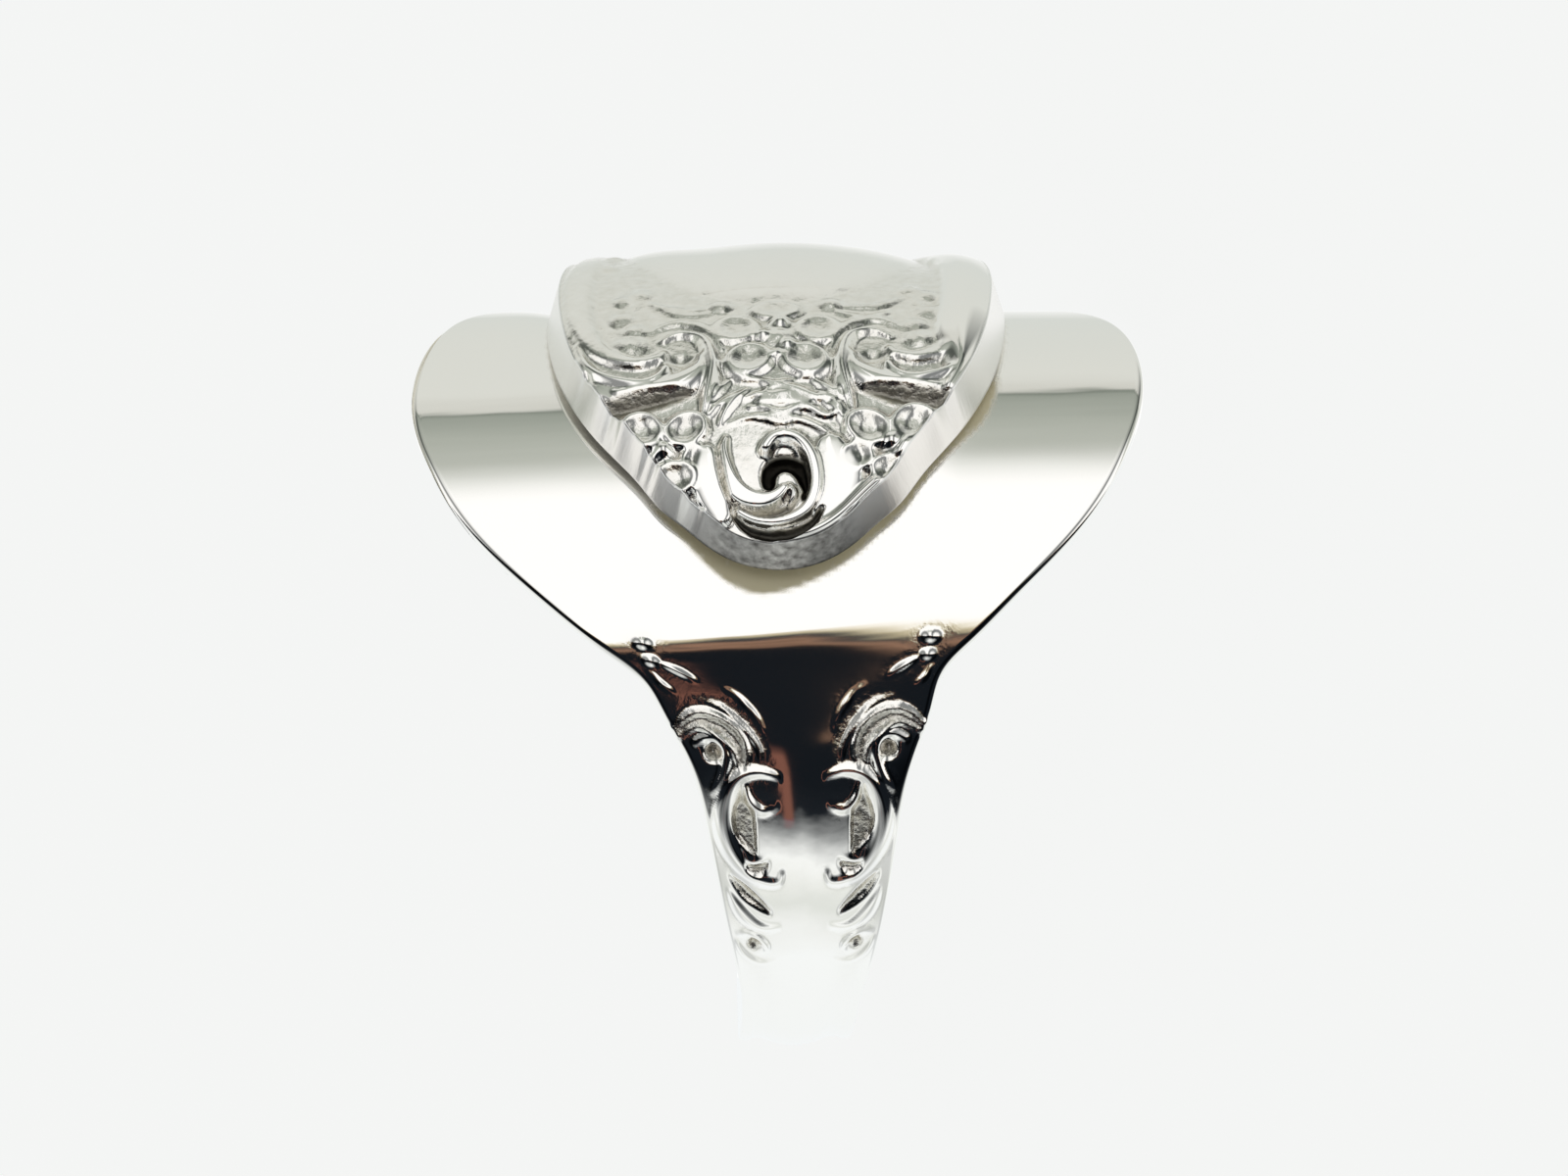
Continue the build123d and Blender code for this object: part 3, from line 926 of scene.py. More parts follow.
@dataclass(frozen=True)
class StemAndTerminal:
    """The reeded stem, its climb at the back and the shield-shaped handle end over the bowl."""

    inner_radius: ClassVar[float] = 10.4
    relief_radius: float = 11.6
    climb_start: float = 110.0
    crown: float = 0.25
    half_width: float = 6.35
    rim_lean: float = 0.36
    field_depth: float = 0.2
    oval_half: float = 4.3
    oval_angle: float = 90.0
    oval_span: float = 32.0
    left_lift: float = 0.32
    dome_radius: float = 12.12
    reeds: Reeds = Reeds()
    columns: int = 196

    # Each by angle: half width, and radius of the middle line of the outer and the inner face
    OUTLINE: ClassVar[Table] = (
        (13.4, 0), (15, 1.3), (17.5, 2), (20, 2.5), (23, 3.1), (28, 3.75), (32, 4.3), (36.5, 4.9), (42, 5.45),
        (46.5, 5.78), (52, 6.05), (59, 6.25), (66, 6.35), (75, 6.3), (82, 6.13), (91, 5.65), (102.3, 4.7),
        (113.7, 3.6), (121, 3.05), (129, 2.72), (139, 2.36), (150.6, 2), (162.2, 1.74), (175, 1.61),
        (195, 1.6), (220, 1.6), (250, 1.6),
    )
    HEIGHTS: ClassVar[Table] = (
        (90, 11.7), (118, 11.7), (127.4, 11.66), (139, 11.4), (150.6, 11.15), (162.2, 11), (173.8, 10.95),
        (200, 10.95), (250, 10.95),
    )
    UNDERSIDE: ClassVar[Table] = (
        (13, 10.4), (20, 10.37), (30, 10.25), (40, 10.2), (60, 10.2), (90, 10.22), (104, 10.3), (118, 10.39),
        (127.4, 10.36), (139, 9.75), (150.6, 9.21), (161, 9.02), (173.8, 9), (200, 9), (250, 9),
    )
    SCROLLS: ClassVar[Marks] = (
        ridge(0.85, 0.06, (4.9, 88), (5.2, 78), (5.4, 68), (5.4, 60), (5.35, 56), (5.15, 52), (4.78, 48),
              (4.2, 45.6), (3.6, 44.8), (3.15, 45.5), foot=-0.06, taper=(0.5, 0.4), peak=0.4),
        ridge(0.8, -0.04, (4.85, 41.5), (4.35, 39.2), (3.9, 37.6), section=Section.FLAT),
        ridge(0.9, 0.1, (1.95, 45), (2.15, 41.6), (2.65, 39.9), (3.35, 39), (4.25, 38.9), taper=(0.5, 0.4),
              peak=0.4),
        ridge(0.42, 0.09, (5.35, 49.4), (5.1, 45), (4.7, 42.2), (4.1, 40.7), (3.5, 40.3), (3.05, 41.8),
              (2.9, 44), (3.02, 46.6), taper=(0.3, 0.5)),
        Bead((2.54, 45), 0.48, -0.32, foot=-0.08, dull=0.6),
        ridge(0.4, -0.05, (3.35, 51.6), (2.8, 53.4), (2.2, 52.9), (1.75, 50.4), (1.43, 46.5)),
        ridge(0.38, 0.13, (3.05, 49.2), (2.6, 50.5), (2.12, 49.6), (1.8, 46.4), (1.72, 42.5), (1.85, 38.5),
              (1.97, 34.6), taper=(0.4, 0.25)),
        # Past 1 this cut's tarnish is painted shade, partly black
        groove(0.9, -0.36, (2.35, 38.3), (3.1, 37.4), (3.8, 36.6), (4.6, 35.9), section=Section.CUT,
               taper=(0.3, 0.8), peak=0.7, dull=1.4),
        ridge(0.34, -0.08, (3.5, 60.2), (3, 57.8), (2.3, 56.8), (1.85, 57)),
        ridge(0.4, -0.02, (4.95, 70), (4.8, 78), (4.6, 86), (4.3, 94), (3.8, 102), foot=-0.12),
    )
    BEADING: ClassVar[Marks] = (
        Bead((4.55, 81), 0.34, 0.04, foot=-0.1),
        Bead((4.7, 74), 0.3, 0.02, foot=-0.1),
        Bead((4.35, 90), 0.32, 0.05, foot=-0.1),
        Bead((1.5, 57.6), 0.36, -0.03),
        ridge(0.26, -0.1, (3.5, 62.5), (3.85, 58.5), (4.2, 54)),
        Bead((3.7, 62.2), 0.38, 0),
        Bead((4.15, 60.6), 0.34, -0.03),
        Bead((4.15, 55.6), 0.4, -0.02),
        Bead((3.8, 52), 0.38, 0),
        Bead((3.92, 48.6), 0.52, 0.04),
        ridge(0.16, -0.04, (1.5, 43), (1.6, 39.5), (1.75, 35.5)),
        ridge(0.18, -0.04, (1.06, 38.4), (1.55, 36.2), (1.97, 33.6)),
    )
    LEAVES: ClassVar[Marks] = alone(
        ridge(0.34, -0.05, (-1.56, 44.7), (-0.95, 41.2), (-0.37, 40.4)),
        ridge(0.34, -0.05, (1.6, 44.9), (1.1, 41.7), (0.54, 40.7)),
        ridge(0.26, -0.04, (-0.77, 39.1), (-1.25, 36.3), (-1.53, 33.2)),
        ridge(0.24, -0.05, (-1.24, 40.7), (-1.62, 38), (-1.89, 35.3)),
        ridge(0.26, -0.06, (-2.07, 41.3), (-1.86, 38.7), (-1.95, 35.9)),
        ridge(0.3, -0.05, (0.91, 40.7), (1.45, 38.2), (1.87, 36.7)),
        ridge(0.26, -0.05, (1.19, 36.4), (1.61, 34.6), (1.76, 32.4)),
        ridge(0.26, -0.08, (-1.31, 33.2), (-0.67, 34.2), (0.32, 33.9), (1.14, 32), (1.63, 29.2)),
        ridge(0.2, -0.06, (-0.9, 37.3), (-0.4, 38), (0.09, 37.3)),
        ridge(0.24, -0.09, (-3.15, 57.8), (-2.51, 55.6), (-1.74, 56)),
        ridge(0.24, -0.09, (1.44, 56.3), (2.31, 54.1), (3.15, 55.7)),
        ridge(0.24, -0.06, (-0.58, 41), (-0.15, 39.9), (0.35, 40.5)),
        ridge(0.6, -0.06, (-0.55, 36.7), (0.2, 37.3), (0.9, 36.5), section=Section.FLAT),
        ridge(0.34, -0.06, (-0.5, 37.7), (-0.05, 39.2), (0.55, 38.5), (1, 37.3), (1.75, 37)),
        ridge(0.32, -0.06, (-0.75, 35.8), (-0.3, 35.6), (0.14, 34.8), (0.73, 35.7), (1.23, 34.2),
              (1.75, 35.6)),
        ridge(0.28, -0.08, (-0.82, 34), (-0.3, 33.8), (0.2, 33.2), (0.6, 34)),
    )
    LARGE_FLOWER: ClassVar[Marks] = alone(
        Petal((0, 55.8), (0, 49), 1, 1.5, -0.04, -0.1, stain=0.25),
        *flower((0.04, 49), ((-1.08, 51.3), 1.35, 1.35, -0.03, -0.12),
                ((1.12, 50.9), 1.35, 1.35, -0.03, -0.12), ((-0.74, 44.6), 1.4, 1.3, -0.02, -0.13),
                ((0.76, 44.4), 1.4, 1.3, -0.02, -0.13), stain=0.25),
        Bead((0.04, 49.2), 0.55, 0.02),
        Bead((0.13, 52.2), 0.36, 0.12),
        Bead((-0.34, 49.4), 0.3, 0.1),
        Bead((0.3, 47.2), 0.32, 0.1),
        Bead((-0.02, 45.4), 0.24, 0.05),
    )
    SMALL_FLOWERS: ClassVar[Marks] = alone(
        *flower((-3, 29.2), ((-3.8, 28), 0.95, 0.95, 0, -0.09), ((-2.12, 27.6), 0.95, 0.95, 0, -0.09),
                ((-2.74, 24.8), 1.15, 1.35, 0.03, -0.1), ((-3.56, 32.4), 1.35, 1.15, 0.04, -0.11),
                ((-2.42, 32.2), 1.35, 1.15, 0.04, -0.11)),
        Bead((-3, 29), 0.34, 0.14, foot=-0.1),
        *flower((2.95, 29.6), ((3.78, 28), 0.95, 0.95, 0, -0.09), ((2.86, 25.6), 0.95, 1.1, 0.01, -0.09),
                ((2.06, 27.6), 0.95, 0.95, 0, -0.09), ((2.36, 31.9), 1.4, 1.22, 0.04, -0.11),
                ((3.56, 32.6), 1.45, 1.28, 0.04, -0.11)),
        Bead((2.95, 29.7), 0.36, 0.14, foot=-0.1),
    )
    # Two smooth lobes, the matt field and pits between them, and the curl that turns round them; the
    # pits and the curl's grooves are marked past 1, so they hold painted shade, black at the deepest
    SWIRL: ClassVar[Marks] = alone(
        ridge(0.9, 0.01, (-1.88, 28.8), (-1.86, 25.5), (-1.72, 22.4), (-1.52, 19.4), foot=-0.05,
              taper=(0.5, 0.6)),
        ridge(1.35, 0, (1.37, 29), (1.52, 26), (1.4, 22.9), (1.15, 20.2), foot=-0.05, taper=(0.6, 0.5)),
        groove(0.72, -0.14, (-0.91, 30.8), (-0.97, 28), (-0.8, 25.4), (-0.43, 24), section=Section.FLAT,
               taper=(0.7, 0.5), dull=0.3),
        groove(0.4, -0.3, (-1.19, 19.3), (-0.88, 17.6), (-0.42, 16.7), (0.18, 16.7), (0.74, 17.9),
               (1.05, 19.8), foot=-0.02, taper=(0.4, 0.4), dull=1.75),
        groove(0.34, -0.3, (-0.96, 19.9), (-0.55, 19.4), (-0.08, 19.6), (0.27, 20.6), (0.46, 22.1),
               foot=-0.02, taper=(0.3, 0.5), dull=1.5),
        groove(0.56, -0.5, (-0.28, 24), (-0.22, 25.9), (0.05, 26.9), (0.4, 26.6), (0.6, 25.2), (0.69, 23.3),
               foot=-0.1, taper=(0.75, 0.5), dull=2.4),
        ridge(0.42, 0.14, (-0.35, 28.8), (-0.12, 30.3), (0.26, 30.6), (0.69, 29), (0.92, 25.8), (0.92, 22.5),
              (0.68, 20), (0.19, 18.6), (-0.32, 18.3), (-0.83, 19), (-1.08, 19.8), section=Section.FLAT,
              taper=(0.9, 0.5), peak=0.15),
        ridge(0.62, 0.16, (-1.36, 30.9), (-1.44, 28.7), (-1.41, 26.3), (-1.25, 23.6), (-0.93, 21.8),
              (-0.54, 21.2), (-0.16, 21.6), (0.12, 22.9), section=Section.FLAT, taper=(0.2, 0.5), peak=0.62),
        ridge(0.22, 0.02, (0.22, 23.8), (0.36, 22.5), (0.22, 20.7)),
        groove(0.2, -0.3, (0.66, 23), (0.58, 21.3), foot=-0.05, dull=2.2),
        groove(0.13, -0.2, (-1.61, 31.6), (-1.56, 27.3), (-1.39, 22.6), (-1.19, 19.8)),
    )
    # A line along the tip's edge, and the notches that the ornament leaves in it, marked past 1 so that
    # they hold painted shade, partly black
    HEM: ClassVar[Marks] = alone(
        ridge(0.2, 0.03, (-2.4, 21.2), (-1.99, 19.1), (-1.4, 16.8), (-0.66, 15.5), (0.17, 15.4),
              (0.92, 16.6), (1.53, 18.6), (2.06, 20.8)),
        groove(0.3, -0.25, (-3.91, 31.1), (-3.75, 28.9), (-3.55, 26.8), section=Section.CUT, dull=1.3),
        groove(0.36, -0.25, (-2.93, 21.7), (-2.49, 20), (-2.01, 18.9), section=Section.CUT, dull=1.3),
        groove(0.3, -0.25, (1.56, 18.3), (2.05, 19.8), (2.58, 21.7), section=Section.CUT, dull=1.3),
        groove(0.26, -0.25, (3.57, 26.5), (3.85, 28), (4.06, 29.8), section=Section.CUT, dull=1.3),
    )
    # Laid behind the oval, smaller and turned round
    BACK_MARKS: ClassVar[Marks] = (
        ridge(0.7, 0.06, (5.3, 62), (5, 56), (4.4, 50), (3.6, 46), (3, 46.5), foot=-0.25, taper=(0.9, 0.4),
              peak=0.3),
        ridge(0.36, 0.04, (4.6, 46), (3.9, 42), (3, 41), (2.4, 44), (2.5, 48)),
        ridge(0.32, 0.1, (3.6, 52), (2.7, 54.5), (2, 50), (1.7, 43), (1.6, 36)),
        ridge(0.24, -0.04, (3.5, 60), (2.7, 57.5), (1.5, 58.5)),
        Bead((3.9, 55), 0.24, 0.02),
        ridge(0.3, 0.06, (1, 37), (0.4, 31), (0.1, 24)),
        Petal((0, 55), (0, 49.5), 0.8, 1.2, 0, -0.12),
        Petal((1.2, 51.2), (0, 49), 1, 0.9, 0, -0.12, twin=True),
        Petal((0.9, 44.8), (0, 49), 0.9, 0.9, 0, -0.12, twin=True),
        Bead((0, 49.4), 0.34, 0.14, twin=False),
    )

    def half(self, angle: Array) -> Array:
        """Half width of the climb and stem at an angle."""
        return by_angle(tuple(row for row in self.OUTLINE if row[0] > self.climb_start), angle)

    def sides(self, angle: Array) -> Side:
        """Sizes of the sides at the rows: the wall leans in on the handle end alone."""
        shield = step(angle, 138.0, 112.0)
        return Side(self.rim_lean * shield, 0.06 * shield + 0.12 * (1.0 - shield), np.full(angle.shape, 0.1))

    def inner(self, _: Array, angle: Array) -> Array:
        """Radius of the underside."""
        return by_angle(self.UNDERSIDE, angle)

    def shaded_side(self, distance: Array) -> Array:
        """Painted shade on the sides at distances from the tip, for the dark that the tip's wall reflects:
        dark there, and clean soon after.
        """
        return 0.8 * step(distance, 3.0, 1.2)

    def ground(self, across: Array, angle: Array, inside: Array) -> tuple[Array, Array, Array]:
        """The bare metal.

        Args:
            across: Distances across, in millimetres.
            angle: Angles round the finger.
            inside: Distances in from the upper edge of the rim.

        Returns:
            Radius of the crowned and reeded face, the height over it of border, field and oval, and how
            much of the casting's matt skin is left.
        """
        height = by_angle(self.HEIGHTS, angle)
        face = height - step(angle, 144.0, 118.0) * self.crown * (across / self.half_width) ** 2
        face -= step(angle, 138.0, 166.0) * self.reeds.drop(across, self.half(angle))
        shoulder = step(angle, 52.0, 86.0) * step(angle, 122.0, 96.0)
        face += self.left_lift * step(across, -1.2, -4.6) * shoulder
        border = 0.3 + 0.95 * step(angle, 38.0, 54.0)
        bulge = 0.12 * np.sin(np.pi * np.clip(inside / border, 0.0, 1.0))
        sunk = self.field_depth * step(inside - border, 0.0, 0.22)
        offset = (bulge - sunk) * step(angle, 142.0, 128.0)
        oval = (across / self.oval_half) ** 2 + ((angle - self.oval_angle) / self.oval_span) ** 2
        dome = (self.dome_radius - height + self.field_depth) * np.clip(1.0 - oval, 0.0, 1.0) ** 0.85
        offset = np.maximum(offset, np.where(oval < 1.0, dome - self.field_depth, -1.0))
        return face, offset, step(inside - border, 0.0, 0.2) * np.where(oval < 1.0, 0.25, 1.0)

    def build(self, seat: RingSeat) -> bpy.types.Object:
        """Builds the piece.

        Args:
            seat: Where the ring lies.

        Returns:
            The object.
        """
        outline = Outline(self.OUTLINE, self.inner_radius)
        front, back, climb, plain, end = (outline.reach(angle) for angle in (62.0, 116.0, 146.0, 172.0, 250.0))
        distances = spaced((0.0, front, 0.055), (front, back, 0.15), (back, climb, 0.085),
                           (climb, plain, 0.16), (plain, end, 0.36))
        strip = Strip(outline, distances, self.columns, self.sides)
        across, angle = strip.across, strip.angle
        inside = distance_to(outline.line(150.0, 600), across, angle * outline.per_degree) - self.rim_lean
        face, bare, cast = self.ground(across, angle, inside)
        marks = self.SCROLLS + self.BEADING + self.LEAVES + self.LARGE_FLOWER + self.SMALL_FLOWERS
        marks += self.SWIRL + self.HEM + tuple(self._turned(mark) for mark in self.BACK_MARKS)
        offset, dull = relief(marks, self.relief_radius, across, angle, bare)
        # The upper ornament is worn lower, most of all at the sides
        worn = (0.15 + 0.25 * step(np.abs(across), 1.8, 2.4)) * step(angle, 41.0, 48.0)
        offset -= worn * (offset - bare)
        dull = dull * (1.0 - worn)
        offset = softened(offset * step(inside, 0.0, 0.12), 2)
        skin = cast * (0.16 * step(angle, 36.0, 50.0) + 0.22 * step(offset, -0.02, -0.12))
        # Tarnish of the hollows and the cast skin, with the painted shade that marks carry past 1
        tarnish = np.maximum(tarnish_and_shade_of(offset, 0.14, dull), skin) * step(angle, 156.0, 146.0)
        return strip.mesh("stem_and_terminal", seat, face + offset, self.inner, nothing, {HOLLOW: tarnish},
                          self.shaded_side)

    def _turned(self, mark: Mark) -> Mark:
        """The same mark behind the oval, drawn in towards the narrower end.

        Args:
            mark: Mark in front of the oval.

        Returns:
            A smaller mark of the same kind.
        """
        def place(spot: Place) -> Place:
            """Place behind the oval that answers to one in front of it."""
            return spot[0] * 0.56, 180.0 - spot[1]

        if isinstance(mark, Stroke):
            return replace(mark, places=tuple(place(spot) for spot in mark.places), width=mark.width * 0.75)
        if isinstance(mark, Petal):
            return replace(mark, place=place(mark.place), heart=place(mark.heart), length=mark.length * 0.6,
                           width=mark.width * 0.7)
        return replace(mark, place=place(mark.place), radius=mark.radius * 0.7)


def linear(colour: str) -> tuple[float, float, float, float]:
    """Linear colour of an sRGB hex string such as #F2F0EC.

    Args:
        colour: Hex string with six digits.

    Returns:
        Red, green and blue from 0 to 1, and an alpha of 1.
    """
    parts = np.array([int(colour[start : start + 2], 16) / 255.0 for start in (1, 3, 5)])
    parts = np.where(parts <= 0.04045, parts / 12.92, ((parts + 0.055) / 1.055) ** 2.4)
    return (*(float(part) for part in parts), 1.0)


def per_mm(size: float) -> float:
    """Scale of a pattern in object coordinates whose features measure a size in millimetres."""
    return 1.0 / (size * MM)


Socket = bpy.types.NodeSocket
Stops = tuple[tuple[float, str], ...]


class Nodes:
    """Node tree of a material or a world, filled from nothing. Most methods give a new node's output."""

    def __init__(self, owner: bpy.types.Material | bpy.types.World) -> None:
        """Turns the nodes on and clears them.

        Args:
            owner: Whose tree is cleared and filled.
        """
        owner.use_nodes = True
        self.tree = owner.node_tree
        self.tree.nodes.clear()

    def add(self, kind: str, values: dict | None = None, **settings) -> bpy.types.Node:
        """Adds a node.

        Args:
            kind: Type of the node.
            values: Inputs by name or number: a socket is linked, anything else is set.
            **settings: The node's own settings.

        Returns:
            The node.
        """
        node = self.tree.nodes.new(kind)
        for name, value in settings.items():
            setattr(node, name, value)
        for key, value in (values or {}).items():
            if isinstance(value, Socket):
                self.tree.links.new(value, node.inputs[key])
            else:
                node.inputs[key].default_value = value
        return node

    def calc(self, operation: str, *values: Socket | float, clamp: bool = False) -> Socket:
        """Result of a sum or another operation."""
        settings = {"operation": operation, "use_clamp": clamp}
        return self.add("ShaderNodeMath", dict(enumerate(values)), **settings).outputs[0]

    def vector(self, operation: str, output: str, values: dict) -> Socket:
        """Result of an operation on vectors."""
        return self.add("ShaderNodeVectorMath", values, operation=operation).outputs[output]

    def span(self, value: Socket, start: float, end: float, low: float = 0.0, high: float = 1.0,
             **settings) -> Socket:
        """Value carried from the span start to end over to low to high, and held at its ends."""
        values = {"Value": value, "From Min": start, "From Max": end, "To Min": low, "To Max": high}
        return self.add("ShaderNodeMapRange", values, **settings).outputs[0]

    def mix(self, share: Socket, first: Socket | tuple, second: Socket | tuple, blend: str = "MIX") -> Socket:
        """Colour between two colours.

        Args:
            share: Share of the second colour.
            first: Colour at a share of 0.
            second: Colour at a share of 1.
            blend: Blender's name for how they blend.

        Returns:
            The colour.
        """
        first_input, second_input, colour_output = 6, 7, 2
        values = {0: share, first_input: first, second_input: second}
        node = self.add("ShaderNodeMix", values, data_type="RGBA", blend_type=blend)
        return node.outputs[colour_output]

    def ramp(self, share: Socket, stops: Stops) -> Socket:
        """Colour of a ramp whose stops are rows of place and sRGB colour.

        Args:
            share: Place on the ramp, from 0 to 1.
            stops: The ramp's stops, in order.

        Returns:
            The colour.
        """
        node = self.add("ShaderNodeValToRGB", {0: share})
        elements = node.color_ramp.elements
        while len(elements) < len(stops):
            elements.new(1.0)
        for element, (place, colour) in zip(elements, stops):
            element.position = place
            element.color = linear(colour)
        return node.outputs[0]

    def noise(self, place: Socket, scale: float, detail: float) -> Socket:
        """Cloudy pattern from 0 to 1."""
        values = {"Vector": place, "Scale": scale, "Detail": detail}
        return self.add("ShaderNodeTexNoise", values).outputs["Fac"]

    def carried(self, name: str) -> Socket:
        """Value that the mesh carries."""
        return self.add("ShaderNodeAttribute", attribute_name=name).outputs["Fac"]

    def bump(self, height: Socket, millimetres: float, **normal: Socket) -> Socket:
        """Normal bumped by a height, over another normal if that is given as Normal."""
        values = {"Height": height, "Distance": millimetres * MM, **normal}
        return self.add("ShaderNodeBump", values).outputs[0]


@dataclass(frozen=True)
class Silver:
    """Sterling silver: a polished colour, a dulled one for its hollows, and the marks on it.

    Sizes and heights are in millimetres. `strokes` is how often the fine marks change in a millimetre
    along the outline, which draws them out across the sides. `cast_height` roughens dulled metal.
    """

    name: str
    polished: str
    dulled: str
    roughness: float
    dull_roughness: float
    wave_size: float
    wave_height: float
    grain: float
    grain_height: float
    strokes: float = 0.0
    cast_height: float = 0.0
    # Tan of dried polish, which also stands for the painted reflection of the handle end's wall in the bowl,
    # and the black of painted shade deep in pits and notches
    residue_and_reflection: str = "#D2C9A8"
    pit_shade: str = "#24221E"

    # The tarnish is multiplied by a mottle, which is a half on average, and this gain
    MOTTLE_SIZE: ClassVar[float] = 0.25
    MOTTLE_GAIN: ClassVar[float] = 1.5
    # The share of dried polish and painted reflection is multiplied by the same with this added
    RESIDUE_AND_REFLECTION_BASE: ClassVar[float] = 0.45
    # Painted shade: hollows marked over 1 turn black between these values
    PIT_SHADE_SPAN: ClassVar[tuple[float, float]] = (1.1, 1.8)

    def material(self) -> bpy.types.Material:
        """Builds the material: colour and roughness follow what the mesh carries: tarnish in the hollows, with
        black painted shade where it passes 1 and the dark of painted shade on the handle end's tip wall, and
        dried polish that also stands for the painted reflection of the handle end's wall. Three bumps give
        slow waves, cast pits and fine marks.

        Returns:
            The material.
        """
        material = bpy.data.materials.new(self.name)
        nodes = Nodes(material)
        place = nodes.add("ShaderNodeTexCoord").outputs["Object"]
        mottle = nodes.noise(place, per_mm(self.MOTTLE_SIZE), 4.0)
        hollow = nodes.carried(HOLLOW)
        uneven = nodes.calc("MULTIPLY", mottle, self.MOTTLE_GAIN)
        dull = nodes.calc("MULTIPLY", hollow, uneven, clamp=True)
        patchy = nodes.calc("ADD", uneven, self.RESIDUE_AND_REFLECTION_BASE)
        residue_and_reflection_share = nodes.calc("MULTIPLY", nodes.carried(RESIDUE_AND_REFLECTION), patchy, clamp=True)
        colour = nodes.mix(dull, linear(self.polished), linear(self.dulled))
        # Painted shade: black in the deepest pits and notches
        colour = nodes.mix(nodes.span(hollow, *self.PIT_SHADE_SPAN), colour, linear(self.pit_shade))
        # Dried polish, which also stands for the painted reflection of the handle end's wall
        colour = nodes.mix(residue_and_reflection_share, colour, linear(self.residue_and_reflection))
        matt = nodes.calc("MAXIMUM", dull, residue_and_reflection_share)
        values = {
            "Base Color": colour,
            "Metallic": nodes.calc("SUBTRACT", 1.0, residue_and_reflection_share),
            "Roughness": nodes.span(matt, 0.0, 1.0, self.roughness, self.dull_roughness),
            "Normal": self._bumps(nodes, place, nodes.calc("MULTIPLY", mottle, dull)),
        }
        shader = nodes.add("ShaderNodeBsdfPrincipled", values)
        nodes.add("ShaderNodeOutputMaterial", {"Surface": shader.outputs[0]})
        return material

    def _bumps(self, nodes: Nodes, place: Socket, pits: Socket) -> Socket:
        """Normal with slow waves, then the pits of dulled metal, then fine marks along the sides.

        Args:
            nodes: Nodes of the material.
            place: Place on the piece.
            pits: Noise of the dulled metal.

        Returns:
            The normal.
        """
        along = nodes.calc("MULTIPLY", nodes.carried(ALONG), self.strokes)
        shift = nodes.add("ShaderNodeCombineXYZ", {"X": along}).outputs[0]
        marks = nodes.vector("SCALE", "Vector", {0: place, "Scale": per_mm(self.grain)})
        marks = nodes.vector("ADD", "Vector", {0: marks, 1: shift})
        waves = nodes.bump(nodes.noise(place, per_mm(self.wave_size), 1.0), self.wave_height)
        cast = nodes.bump(pits, self.cast_height, Normal=waves)
        return nodes.bump(nodes.noise(marks, 1.0, 3.0), self.grain_height, Normal=cast)


# Mirror-bright metal with soft waves from hand polishing; its hollows hold a warm grey tarnish, and its
# deepest pits black painted shade
POLISHED = Silver("polished_silver", "#FCFAF6", "#D8D3C5", 0.05, 0.42, 3.0, 0.010, 0.8, 0.0002,
                  cast_height=0.05)
# The cut wall of the handle end: fine strokes of a file across it, so it gives back a streaked grey, and
# a dark brown where it is dulled, which is painted shade on the wall near the tip for the dark it reflects
FILED = Silver("filed_silver", "#FCFBF8", "#37312B", 0.34, 0.42, 2.0, 0.006, 0.7, 0.004, strokes=14.0)
# The inner wall, brushed by wear, which blurs what it reflects
SATIN = Silver("satin_silver", "#F0EDE8", "#A69F8C", 0.16, 0.42, 3.0, 0.008, 0.5, 0.0008)


